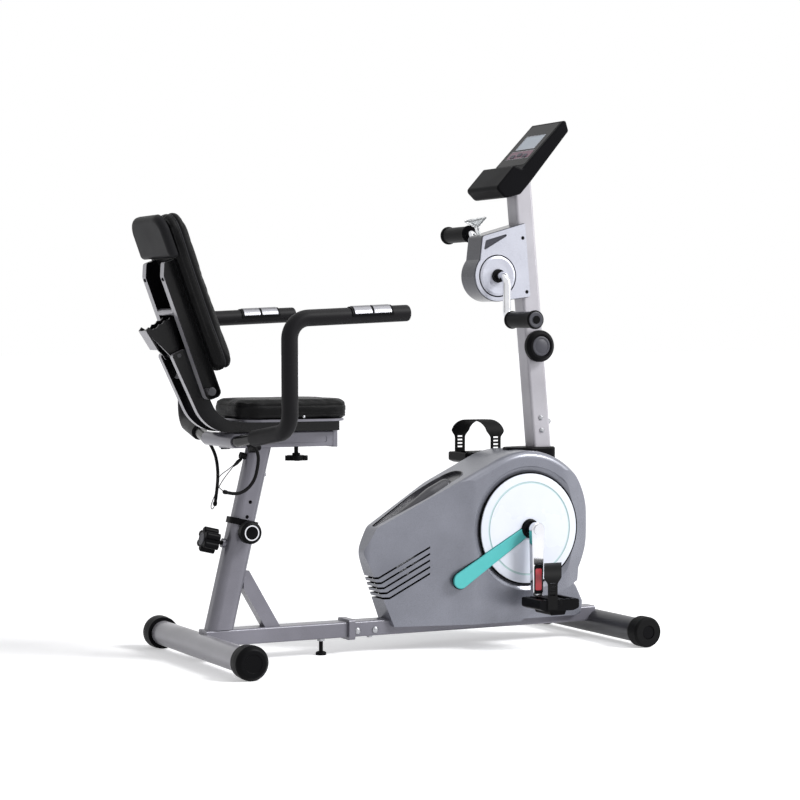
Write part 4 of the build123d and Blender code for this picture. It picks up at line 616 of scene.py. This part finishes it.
def stacked_rows(count, rows):
    """The faces of a closed piece made of rows of count points: its sides and both ends."""
    faces = []
    for row in range(rows - 1):
        for step in range(count):
            near, far = row * count + step, row * count + (step + 1) % count
            faces.append((near, far, far + count, near + count))
    faces.append(tuple(reversed(range(count))))
    faces.append(tuple(range((rows - 1) * count, rows * count)))
    return faces


def housing_tree():
    """Both halves as one search tree, in scene space."""
    points, faces = [], []
    for node in HOUSING_NODES:
        solid = frame["nodes"][node]
        start = len(points)
        points += [solid.matrix_world @ point.co for point in solid.data.vertices]
        faces += [[start + index for index in face.vertices] for face in solid.data.polygons]
    return BVHTree.FromPolygons(points, faces)


def faces_inward(spot, facing):
    """True where a line straight out from the face meets the housing again."""
    return shell_tree.ray_cast(spot + facing * JUST_OFF, facing)[0] is not None


shell_tree = housing_tree()
# Painted shade: the inward faces of both halves take the near-black plastic.
for node in HOUSING_NODES:
    paint_where(frame["nodes"][node], painted_shade_pp, faces_inward)
# The board behind the vents is painted shade.
board_points = [drawn(x, y, z) for y in (VENT_SHADE_BOARD_HALF_MM, -VENT_SHADE_BOARD_HALF_MM) for x, z in VENT_SHADE_BOARD]
vent_shade_board = mesh_object("vent_shade_board", board_points, stacked_rows(len(VENT_SHADE_BOARD), 2))
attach(paint_piece(vent_shade_board, painted_shade_pp), "frame")
print("housing faces", [len(frame["nodes"][node].data.polygons) for node in HOUSING_NODES])

# %% [markdown]
# Small turned pieces, such as screws, rings and caps, come from one profile swept round an axis. Each point of the
# profile is a distance from the axis and a height along it, in millimetres. Small plates come from a rounded outline
# in the same way, with their top edge broken.

# %% Turned pieces and small plates


def turned_piece(name, body, centre, axis, profile, material, steps=48):
    """A piece turned from (radius, height) points in millimetres, with its foot at centre and its top along axis."""
    spin = Vector((0, 0, 1)).rotation_difference(Vector(axis))
    points = []
    for radius, height in profile:
        for step in range(steps):
            angle = 2 * math.pi * step / steps
            flat = Vector((radius * math.cos(angle), radius * math.sin(angle), height)) / 1000
            points.append(Vector(centre) + spin @ flat)
    piece = mesh_object(name, points, stacked_rows(steps, len(profile)), 40)
    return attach(paint_piece(piece, material), body)


def ring_profile(inner, outer, low, high):
    """A flat ring's section: up the outside, over the top and down the inside."""
    return [(inner, low), (outer, low), (outer, high), (inner, high), (inner, low)]


def rounded_plate(name, body, foot, ways, size_mm, material):
    """A thin plate with round corners and a broken top edge. Ways: along its height, its width and out of it."""
    along, across, out = ways
    height_mm, width_mm, corner_mm, thick_mm = size_mm
    outline = []
    for step in range(28):
        corner = step // 7
        angle = math.radians(90 * corner + 15 * (step % 7))
        sign_u, sign_s = (1, -1, -1, 1)[corner], (1, 1, -1, -1)[corner]
        outline.append((
            sign_u * (height_mm / 2 - corner_mm) + corner_mm * math.cos(angle),
            sign_s * (width_mm / 2 - corner_mm) + corner_mm * math.sin(angle),
        ))
    rows = ((0, 0), (0, thick_mm * 0.7), (thick_mm * 0.3, thick_mm))
    points = []
    for inset, lift in rows:
        shrink_u = max(0.0, 1 - inset * 2 / height_mm)
        shrink_s = max(0.0, 1 - inset * 2 / width_mm)
        points += [foot + (along * u * shrink_u + across * s * shrink_s + out * lift) / 1000 for u, s in outline]
    plate = mesh_object(name, points, stacked_rows(len(outline), len(rows)))
    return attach(paint_piece(plate, material), body)


print("turning ready")

# %% [markdown]
# A tube that follows a line makes piping and thin cords of painted shade. It's a curve with a round bevel.

# %% Piping


def piping(name, body, points, radius, material, closed=True):
    """A round cord of the given radius in metres along points."""
    piece, spline = tube_along(name, "POLY", points, radius, 3)
    spline.use_cyclic_u = closed
    spline.use_smooth = True
    piece.data.materials.append(material)
    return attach(piece, body)


print("piping ready")

# %% [markdown]
# A moulded part never meets its neighbour without a gap, and the eye reads that gap as a dark line because shade
# falls in it. Here the gaps round the side discs, round the teal arm covers and round the hand unit's covers get
# near-black rings and cords as painted shade.

# %% Painted shade in the gaps round the covers
HUB = (AXLE_X_ON_DRAWING, 292.5)
ARM_TIP = (144, 172)
ARM_TIP_RADIUS_MM = 20
ARM_ROOT_RADIUS_MM = 12
DISC_RADIUS_MM = 137
DISC_SHADE_RING = ring_profile(DISC_RADIUS_MM + 0.3, DISC_RADIUS_MM + 3.2, 0, 6.5)
DISH_FACE_MM = 80
ARM_SHADE_CORD_OFF_MM = 1.1
ARM_SHADE_CORD_OUT_MM = 87.4
HAND_HUB = (276, 922)
HAND_FACE_MM = 35
SIDES = ((-1, "right"), (1, "left"))


def arm_shade_cord_points(side):
    """The way along the arm cover's edge: from just past the disc's rim, round the tip and back."""
    tip = Vector((ARM_TIP[0], 0, ARM_TIP[1]))
    along = Vector((ARM_TIP[0] - HUB[0], 0, ARM_TIP[1] - HUB[1]))
    length = along.length
    along.normalize()
    across = Vector((-along.z, 0, along.x))
    lean = math.asin((ARM_TIP_RADIUS_MM - ARM_ROOT_RADIUS_MM) / length)
    reach = ARM_TIP_RADIUS_MM + ARM_SHADE_CORD_OFF_MM
    start = length - DISC_RADIUS_MM - 3

    def edge_point(sign, back_mm):
        """A point on one straight edge, back_mm from where the round tip begins."""
        corner = tip + across * sign * reach * math.cos(lean) - along * reach * math.sin(lean)
        return corner + (-along * math.cos(lean) - across * sign * math.sin(lean)) * back_mm

    points = [edge_point(1, start)]
    for step in range(25):
        angle = math.pi / 2 + lean - (math.pi + 2 * lean) * step / 24
        points.append(tip + (across * math.sin(angle) + along * math.cos(angle)) * reach)
    points.append(edge_point(-1, start))
    return [drawn(point.x, side * ARM_SHADE_CORD_OUT_MM, point.z) for point in points]


# Painted shade: a near-black ring round each disc and each hand unit, and a near-black cord round each arm cover.
for side, word in SIDES:
    outward = Vector((0, side, 0))
    turned_piece(f"disc_gap_shade_{word}", "frame", drawn(HUB[0], side * DISH_FACE_MM, HUB[1]), outward,
                 DISC_SHADE_RING, painted_shade_pp, 128)
    piping(f"arm_gap_shade_{word}", "frame", arm_shade_cord_points(side), 0.0011, painted_shade_pp, closed=False)
    turned_piece(f"hand_gap_shade_{word}", "frame", drawn(HAND_HUB[0], side * HAND_FACE_MM, HAND_HUB[1]), outward,
                 ring_profile(50.2, 52.8, 0, 2.2), painted_shade_pp, 96)
# The rings and cords above are painted shade in the gaps.
print("seals ready")

# %% [markdown]
# The red inlay in each pedal arm sits in a black moulded sleeve, which is a thin rounded plate under it.
# Knobs get their face trims: a bright ring with a glossy middle on the post's pull knob, and grey middles on the
# tension knob and on the clamp knob. The hand grips and the pedals get their end caps, the hand rods their black
# collars and ends, and the bars behind the backrest a bolt each. Heights and distances are in millimetres.

# %% Sleeves, knob faces and end caps
SLEEVE_FROM_AXLE = 123
SLEEVE_OUT = 134.02
SLEEVE_SIZE = (72, 25.5, 6, 0.45)
PEDAL_OUT = 236.02
CRANK_LENGTH = 170
KNOB_RING = ring_profile(15.6, 18.4, -2.6, 0.5)
KNOB_LENS = [(15.5, -3.9), (15.5, -2.2), (12, -1.0), (5, -0.6), (0.5, -0.5)]
TENSION_FACE = [(24.6, -2.9), (24.6, -2.2), (23.6, -1.6), (19.6, -1.6), (18.8, -2.4), (17.0, -2.4), (16.4, -2.0),
                (0.5, -1.8)]
CLAMP_FACE = [(15, 0.02), (15, 0.7), (14, 1.2), (11.5, 1.2), (10.8, 0.5), (0.5, 0.4)]
GRIP_CAP = [(19, 0.03), (19, 0.9), (17.5, 1.6), (14, 1.6), (13, 1.1), (0.5, 1.5)]
PEDAL_PLUG = [(7.4, 0), (7.4, 0.5), (6.4, 0.9), (0.5, 1.1)]
BAR_BOLT = [(4.4, 0.0), (4.4, 1.2), (3.2, 2.2), (1.6, 2.4), (1.4, 1.2), (0.4, 1.2)]
POST_WAY = Vector((0.2334, 0, 0.9724))
KNOB_HEAD = 0.004


def side_centre(node, side):
    """The middle of a node's box on its left or right side."""
    low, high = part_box(node)
    return Vector(((low.x + high.x) / 2, high.y if side > 0 else low.y, (low.z + high.z) / 2))


for side, word in SIDES:
    sleeve_foot = drawn(HUB[0], side * SLEEVE_OUT, HUB[1] + SLEEVE_FROM_AXLE * side)
    sleeve_ways = (Vector((0, 0, 1)), Vector((1, 0, 0)), Vector((0, side, 0)))
    rounded_plate(f"crank_sleeve_{word}", "crank", sleeve_foot, sleeve_ways, SLEEVE_SIZE, black_abs)
pull_face = side_centre("post_pull_knob", -1)
turned_piece("pull_knob_ring", "pull_knob", pull_face, (0, -1, 0), KNOB_RING, chrome_plate, 64)
turned_piece("pull_knob_lens", "pull_knob", pull_face, (0, -1, 0), KNOB_LENS, gloss_black_acrylic, 48)
tension_face = side_centre("tension_knob", -1)
turned_piece("tension_knob_face", "tension", tension_face, (0, -1, 0), TENSION_FACE, grey_knob_face, 64)

post_rear = Vector((-POST_WAY.z, 0, POST_WAY.x))
clamp_knob = frame["nodes"]["post_clamp_knob"]
clamp_spots = [clamp_knob.matrix_world @ point.co for point in clamp_knob.data.vertices]
clamp_reach = max(spot.dot(post_rear) for spot in clamp_spots)
head_spots = [spot for spot in clamp_spots if spot.dot(post_rear) > clamp_reach - KNOB_HEAD]
clamp_face = sum(head_spots, Vector()) / len(head_spots)
clamp_face += post_rear * (clamp_reach - clamp_face.dot(post_rear))
turned_piece("clamp_knob_face", "clamp_knob", clamp_face, post_rear, CLAMP_FACE, grey_knob_face, 48)

for side, word in SIDES:
    turned_piece(f"grip_cap_{word}", f"grip_{word[0]}", side_centre(f"hand_grip_{word}", side), (0, side, 0),
                 GRIP_CAP, grey_knob_face, 64)
for side, word in SIDES:
    pedal_end = drawn(HUB[0], side * PEDAL_OUT, HUB[1] + side * CRANK_LENGTH)
    turned_piece(f"pedal_plug_{word}", f"pedal_{word[0]}", pedal_end, (0, side, 0), PEDAL_PLUG, black_abs, 32)
rod_reach = max(abs(corner.y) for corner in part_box("hand_crank"))


def on_collar_or_end(spot, facing):
    """True on the hand rod's black hub collars and on its two cut ends."""
    from_axis = (spot - drawn(HAND_HUB[0], spot.y * 1000, HAND_HUB[1])).length
    on_collar = 0.0385 < abs(spot.y) < 0.0475 and from_axis > 0.0102
    return on_collar or abs(spot.y) > rod_reach - JUST_OFF


paint_where(frame["nodes"]["hand_crank"], black_abs, on_collar_or_end)
for side, word in SIDES:
    bolt_foot = back_pivot + back_out * -0.017 + back_along * 0.283 + Vector((0, side * 0.059, 0))
    turned_piece(f"bar_bolt_{word}", "back", bolt_foot, -back_out, BAR_BOLT, black_abs, 32)
print("knob faces at", tuple(round(v, 3) for v in pull_face), tuple(round(v, 3) for v in clamp_face))

# %% [markdown]
# The seat and the backrest are foam under a cover cut slightly smaller, so it swells between its seams. Here a copy
# of the solid is remeshed into even squares and Cloth blows it up from inside, without gravity. The move of each
# point is capped, because foam swells only so far, and nothing may go through the board underneath. The backrest's
# underside has a slot with room for the prop rack, and the cover stays out of that too.

# %% Stuffing a cushion
VOXEL = 0.005
FRAMES = 20
COVER_GAP = 0.0004
SLOT_REACH = 0.02


def baked_mesh(cover):
    """The cover's mesh with its modifiers made real."""
    data = bpy.data.meshes.new_from_object(cover.evaluated_get(bpy.context.evaluated_depsgraph_get()))
    cover.modifiers.clear()
    return data


def search_tree(data):
    """A mesh as a tree that rays can be cast at."""
    return BVHTree.FromPolygons([point.co for point in data.vertices], [face.vertices[:] for face in data.polygons])


def remeshed_copy(node, shrink):
    """An even mesh of a node, drawn in by shrink metres so that it has room to swell."""
    cover = bpy.data.objects.new(f"{node}_cover", frame["nodes"][node].data.copy())
    bpy.context.scene.collection.objects.link(cover)
    remesh = cover.modifiers.new("even", "REMESH")
    remesh.mode = "VOXEL"
    remesh.voxel_size = VOXEL
    even = baked_mesh(cover)
    outward = [point.normal.copy() for point in even.vertices]
    for point, normal in zip(even.vertices, outward):
        point.co -= normal * shrink
    even.polygons.foreach_set("use_smooth", [True] * len(even.polygons))
    cover.data = even
    return cover


def blow_up(cover, cap):
    """Runs Cloth with air inside it and keeps each point within cap metres of where it was."""
    before = [point.co.copy() for point in cover.data.vertices]
    cloth = cover.modifiers.new("air", "CLOTH")
    cloth.settings.use_pressure = True
    cloth.settings.uniform_pressure_force = 4
    cloth.settings.effector_weights.gravity = 0
    cloth.point_cache.frame_end = FRAMES
    for number in range(1, FRAMES + 1):
        bpy.context.scene.frame_set(number)
    swollen = baked_mesh(cover)
    bpy.context.scene.frame_set(1)
    for point, start in zip(swollen.vertices, before):
        move = point.co - start
        if move.length > cap:
            point.co = start + move * (cap / move.length)
    cover.data = swollen


def smooth_once(cover):
    """One subdivision, made real."""
    divide = cover.modifiers.new("fine", "SUBSURF")
    divide.levels = divide.render_levels = 1
    fine = baked_mesh(cover)
    fine.polygons.foreach_set("use_smooth", [True] * len(fine.polygons))
    cover.data = fine


def hold_over_board(cover, node, foot, up, height):
    """Keeps each point between the solid's own underside, with any slot cut into it, and the height along up."""
    tree = search_tree(frame["nodes"][node].data)
    for point in cover.data.vertices:
        lift = (point.co - foot).dot(up)
        floor = COVER_GAP
        if lift < SLOT_REACH:
            hit = tree.ray_cast(point.co + up * (SLOT_REACH - lift), -up, 2 * SLOT_REACH)[0]
            if hit is not None:
                floor += max((hit - foot).dot(up), 0)
        point.co += up * (min(max(lift, floor), height) - lift)


def stuffed(node, body, shrink, cap, foot, up, height):
    """A cushion from a node: swollen, then held between the board at foot and its full height along up."""
    cover = remeshed_copy(node, shrink)
    blow_up(cover, cap)
    smooth_once(cover)
    hold_over_board(cover, node, foot, up, height)
    paint_piece(cover, leatherette)
    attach(cover, body)
    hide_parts(node)
    return cover


def press_seams(cover, foot, up, levels, depth, width):
    """Draws the cover in along lines that run round it at the given heights over foot."""
    outward = [point.normal.copy() for point in cover.data.vertices]
    for point, normal in zip(cover.data.vertices, outward):
        side = normal - up * normal.dot(up)
        lift = (point.co - foot).dot(up)
        pull = sum(math.exp(-(((lift - level) / width) ** 2)) for level in levels)
        point.co -= side * (depth * min(pull, 1))


def seam_line(cover, foot, up, level, steps):
    """The points of the cover's outline at a height over foot, found by looking in from outside."""
    tree = search_tree(cover.data)
    centre = (Vector(cover.bound_box[0]) + Vector(cover.bound_box[6])) / 2
    centre += up * (level - (centre - foot).dot(up))
    across = up.orthogonal().normalized()
    other = up.cross(across)
    found = []
    for step in range(steps):
        angle = 2 * math.pi * step / steps
        way = across * math.cos(angle) + other * math.sin(angle)
        hit = tree.ray_cast(centre + way * 0.6, -way)[0]
        if hit is not None:
            found.append(hit)
    return found


print("stuffing ready")

# %% [markdown]
# The seat may rise 3 mm over its solid on top. Two sewn lines run round it near its board, piping runs round it
# higher up, and a zinc stud sits on each side. All heights are in metres over the board.

# %% Seat cushion
SEAT_UP = Vector((0, 0, 1))
SEAT_STITCHES = (0.011, 0.017)
SEAT_PIPING_HEIGHT = 0.034
SEAT_STUD = [(3.2, -2), (3.2, 0.6), (2.2, 1.5), (0.5, 1.9)]
seat_low, seat_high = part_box("seat_pad")
seat_foot = Vector((0, 0, seat_low.z))
seat_height = seat_high.z - seat_low.z
seat_cushion = stuffed("seat_pad", "seat", 0.004, 0.007, seat_foot, SEAT_UP, seat_height + 0.003)
press_seams(seat_cushion, seat_foot, SEAT_UP, SEAT_STITCHES, 0.0014, 0.0016)
press_seams(seat_cushion, seat_foot, SEAT_UP, (SEAT_PIPING_HEIGHT,), 0.0022, 0.003)
seat_seam = seam_line(seat_cushion, seat_foot, SEAT_UP, SEAT_PIPING_HEIGHT, 120)
piping("seat_piping", "seat", seat_seam, 0.0015, leatherette)
stud_tree = search_tree(seat_cushion.data)
for side, word in SIDES:
    stud_spot = stud_tree.ray_cast(drawn(-285, side * 200, 583), Vector((0, -side, 0)))[0]
    turned_piece(f"seat_stud_{word}", "seat", stud_spot, (0, side, 0), SEAT_STUD, zinc_plate, 24)
print("seat cushion points", len(seat_cushion.data.vertices), "seam points", len(seat_seam))

# %% [markdown]
# The backrest leans back by 20.4 degrees. Its own "up" is the direction out of its board, towards the rider. Piping
# runs round it halfway through its thickness, and a sewn line runs round behind that.

# %% Backrest cushion
BOARD_OUT = 0.023
BACK_THICKNESS = 0.049
BACK_STITCH = 0.011
BACK_PIPING_HEIGHT = 0.027
back_foot = back_pivot + back_out * BOARD_OUT
back_cushion = stuffed("back_cushion", "back", 0.004, 0.008, back_foot, back_out, BACK_THICKNESS)
press_seams(back_cushion, back_foot, back_out, (BACK_PIPING_HEIGHT,), 0.003, 0.003)
press_seams(back_cushion, back_foot, back_out, (BACK_STITCH,), 0.0012, 0.0016)
back_seam = seam_line(back_cushion, back_foot, back_out, BACK_PIPING_HEIGHT, 200)
piping("back_piping", "back", back_seam, 0.0012, seam_thread)
print("back cushion points", len(back_cushion.data.vertices))

# %% [markdown]
# The pulse wires end in small moulded plugs, and a short rubber ferrule holds each sheath's end. The plugs come out
# of one node. The ferrules are turned round the last stretch of each sheath.

# %% Ferrules and the four leads
FERRULE = [(4.0, -7.0), (5.0, -6.2), (5.2, -1.0), (4.6, 1.2), (2.6, 3.2), (1.2, 3.8)]


def ferrule(name, route):
    """A rubber end piece round a sheath's end, in line with it."""
    end, before = Vector(route[-1]), Vector(route[-2])
    return turned_piece(name, "post", end, (end - before).normalized(), FERRULE, matt_rubber, 24)


ferrule_right = ferrule("ferrule_right", SHEATH_RIGHT_ROUTE)
ferrule_left = ferrule("ferrule_left", SHEATH_LEFT_ROUTE)
plug_pieces = part_node("lead_plugs", "post")
for piece in plug_pieces:
    paint_piece(piece, matt_rubber)
print("plug pieces", [piece.name for piece in plug_pieces])

# %% [markdown]
# The armrest foam is a tube of closed-cell foam slid over the bar.

# %% Armrest foam
foam_pieces = part_node("armrest_foam", "post")
for piece in foam_pieces:
    paint_piece(piece, handle_foam)
print("foam pieces", len(foam_pieces))

# %% [markdown]
# The console face rises 130 mm over a run of 125 mm. Everything printed or moulded on it is placed from the middle of
# the face: so far up the slope, so far to the side, and so far out of it.

# %% Places on the console face
FACE_RUN, FACE_RISE = 125, 130
face_up = Vector((FACE_RUN, 0, FACE_RISE)).normalized()
face_out = Vector((-FACE_RISE, 0, FACE_RUN)).normalized()
face_side = Vector((0, 1, 0))
face_middle = middle(face_plate)
face_lift = max((point.co - face_middle).dot(face_out) for point in face_plate.data.vertices)


def face_plaque(name, at_mm, size_mm, material, out_mm=0.0):
    """A thin rounded plate on the console face. Size: height, width, corner radius and thickness."""
    up_mm, side_mm = at_mm
    foot = face_middle + face_up * (up_mm / 1000) + face_side * (side_mm / 1000)
    foot += face_out * (face_lift + out_mm / 1000)
    return rounded_plate(name, "frame", foot, (face_up, face_side, face_out), size_mm, material)


print("face lift", round(face_lift * 1000, 2), "mm; middle", tuple(round(v, 4) for v in face_middle))

# %% [markdown]
# The window shows a grey-blue liquid crystal: dark segments lie over a pale reflector, with a light bezel round it.
# The segments are generic figures, drawn as thin bars named a to g as on every such display. Below the window a
# wine-red band is printed between two fine silver lines, and the rubber keys stand in it.

# %% Window and printed band
lcd_glass = moulded_plastic("lcd_glass", "#b3bfca", "#a3b0bd", 0.2, 0.004)
lcd_segment = moulded_plastic("lcd_segment", "#3b4550", "#323b45", 0.3, 0.004)
silver_print = moulded_plastic("silver_print", "#c9ccd4", "#b9bcc5", 0.35, 0.01)
wine_print = moulded_plastic("wine_print", "#6b3350", "#582840", 0.3, 0.01)
paint_piece(window, lcd_glass)
WINDOW_UP = (middle(window) - face_middle).dot(face_up) * 1000
GLASS_OUT = -0.75
FIGURES = ((2, 27), (0, 13), (3, -5), (5, -19))
SEGMENTS = {0: "abcdef", 2: "abged", 3: "abgcd", 5: "afgcd"}
LYING, STANDING = (1.5, 6, 0.5, 0.12), (6.5, 1.5, 0.5, 0.12)
BARS = {"a": (8, 0, LYING), "g": (0, 0, LYING), "d": (-8, 0, LYING), "f": (4, 3.6, STANDING),
        "b": (4, -3.6, STANDING), "e": (-4, 3.6, STANDING), "c": (-4, -3.6, STANDING)}
BAND_UP = WINDOW_UP - 45
BAND_LINE = (0.9, 112, 0.4, 0.16)

face_plaque("bezel_top", (WINDOW_UP + 24.6, 0), (1.4, 94, 0.6, 0.35), silver_print)
face_plaque("bezel_foot", (WINDOW_UP - 24.6, 0), (1.4, 94, 0.6, 0.35), silver_print)
face_plaque("bezel_right", (WINDOW_UP, -46.6), (50, 1.4, 0.6, 0.35), silver_print)
face_plaque("bezel_left", (WINDOW_UP, 46.6), (50, 1.4, 0.6, 0.35), silver_print)
for number, (digit, side_mm) in enumerate(FIGURES, 1):
    for bar in SEGMENTS[digit]:
        bar_up, bar_side, bar_size = BARS[bar]
        face_plaque(f"figure_{number}_{bar}", (WINDOW_UP + 4 + bar_up, side_mm + bar_side), bar_size,
                    lcd_segment, GLASS_OUT)
for row in range(8):
    face_plaque(f"level_{row + 1}", (WINDOW_UP - 17, 33 - row * 8), (3.0 + row * 0.6, 4.5, 0.6, 0.12),
                lcd_segment, GLASS_OUT)
face_plaque("band_wine", (BAND_UP, 0), (26, 112, 7, 0.16), wine_print)
face_plaque("band_line_top", (BAND_UP + 14, 0), BAND_LINE, silver_print)
face_plaque("band_line_foot", (BAND_UP - 14, 0), BAND_LINE, silver_print)
print("window", round(WINDOW_UP, 1), "mm up the face")

# %% [markdown]
# Two screws on each side hold the hand unit's shields. Each is a black head in a dark collar, so it reads as a
# dark dot on the silver.

# %% Screws
SCREW_HEAD = [(0.6, 0.0), (3.2, 0.0), (3.2, 0.7), (2.6, 1.2), (1.0, 1.35)]
COLLAR = [(2.6, 0.0), (4.6, 0.0), (4.6, 0.35), (4.2, 0.6), (3.3, 0.6), (3.3, 0.1), (2.6, 0.1)]
SHIELD_OUT = 38
SHIELD_SCREWS = ((348, 1017.7), (360, 883))
for side, word in SIDES:
    for number, (x, z) in enumerate(SHIELD_SCREWS, 1):
        spot = drawn(x, side * SHIELD_OUT, z)
        for part, profile in (("collar", COLLAR), ("head", SCREW_HEAD)):
            turned_piece(f"shield_screw_{word}_{number}_{part}", "frame", spot, (0, side, 0), profile, black_abs, 28)
print("screws", 2 * len(SHIELD_SCREWS))

# %% [markdown]
# The room is plain: a pale floor and a white surround. The camera, and anything that mirrors or lets light through,
# sees the surround as pure white, while the light that it gives stays soft and low. The floor glows a little for
# the same rays, so that it turns white too and keeps just the soft shadow under the bike.

# %% Floor and surround
ROOM_LIGHT = 0.27
FLOOR_GLOW = 0.42
FLOOR_HALF = 60


def white_to_viewers(tree):
    """One where the ray comes from the camera, a mirror or a clear plastic, and zero elsewhere."""
    path = add_node(tree, "ShaderNodeLightPath")
    mirror = add_node(tree, "ShaderNodeMath", {"operation": "MAXIMUM"},
                      {0: (path, "Is Camera Ray"), 1: (path, "Is Glossy Ray")})
    return add_node(tree, "ShaderNodeMath", {"operation": "MAXIMUM"},
                    {0: (mirror, 0), 1: (path, "Is Transmission Ray")})


world = bpy.data.worlds.new("studio")
bpy.context.scene.world = world
world.use_nodes = True
sky = world.node_tree
sky.nodes.clear()
seen = white_to_viewers(sky)
dim = add_node(sky, "ShaderNodeBackground", {"Color": linear("#fbfbff"), "Strength": ROOM_LIGHT})
white = add_node(sky, "ShaderNodeBackground", {"Color": (1, 1, 1, 1), "Strength": 1.0})
either = add_node(sky, "ShaderNodeMixShader", links={"Fac": (seen, 0), 1: (dim, 0), 2: (white, 0)})
add_node(sky, "ShaderNodeOutputWorld", links={"Surface": (either, 0)})

floor_material, floor_tree, floor_place = empty_material("pale_floor")
speckle = noise(floor_tree, floor_place, 3, 2)
pale = two_tone(floor_tree, speckle, "#f2f2f3", "#f7f7f8")
matt = add_node(floor_tree, "ShaderNodeBsdfDiffuse", links={"Color": pale})
floor_seen = white_to_viewers(floor_tree)
strength = add_node(floor_tree, "ShaderNodeMath", {"operation": "MULTIPLY", 1: FLOOR_GLOW}, {0: (floor_seen, 0)})
glow = add_node(floor_tree, "ShaderNodeEmission", links={"Strength": (strength, 0)})
close_material(floor_tree, add_node(floor_tree, "ShaderNodeAddShader", links={0: (matt, 0), 1: (glow, 0)}))
floor_corners = [(x * FLOOR_HALF, y * FLOOR_HALF, 0) for x, y in ((-1, -1), (1, -1), (1, 1), (-1, 1))]
floor = paint_piece(mesh_object("floor", floor_corners, [(0, 1, 2, 3)]), floor_material)
print("floor", 2 * FLOOR_HALF, "m wide")

# %% [markdown]
# A broad sun at the bike's front right gives the floor its soft shadow. Two softboxes, one overhead and one at the
# front right, lift the faces that look their way. The look is Standard, so that white stays white.

# %% Lamps and look


def lamp_at(name, kind, energy, place, aim, size):
    """A lamp that looks from place to aim. Size is the softbox's side, or the sun's angle."""
    lamp_data = bpy.data.lights.new(name, kind)
    lamp_data.energy = energy
    if kind == "AREA":
        lamp_data.size = size
    else:
        lamp_data.angle = size
    lamp = bpy.data.objects.new(name, lamp_data)
    lamp.location = place
    lamp.rotation_euler = (Vector(aim) - Vector(place)).to_track_quat("-Z", "Y").to_euler()
    bpy.context.scene.collection.objects.link(lamp)


lamp_at("key_sun", "SUN", 2.7, (2.4, -2.6, 3.2), (0, 0, 0.5), math.radians(20))
lamp_at("top_softbox", "AREA", 20, (0.5, -0.4, 3.0), (0, 0, 0.6), 2.0)
lamp_at("side_softbox", "AREA", 22, (2.6, -1.6, 1.6), (0, 0, 0.7), 1.4)
bpy.context.scene.view_settings.view_transform = "Standard"
print("lamps", [lamp.name for lamp in bpy.data.lights])
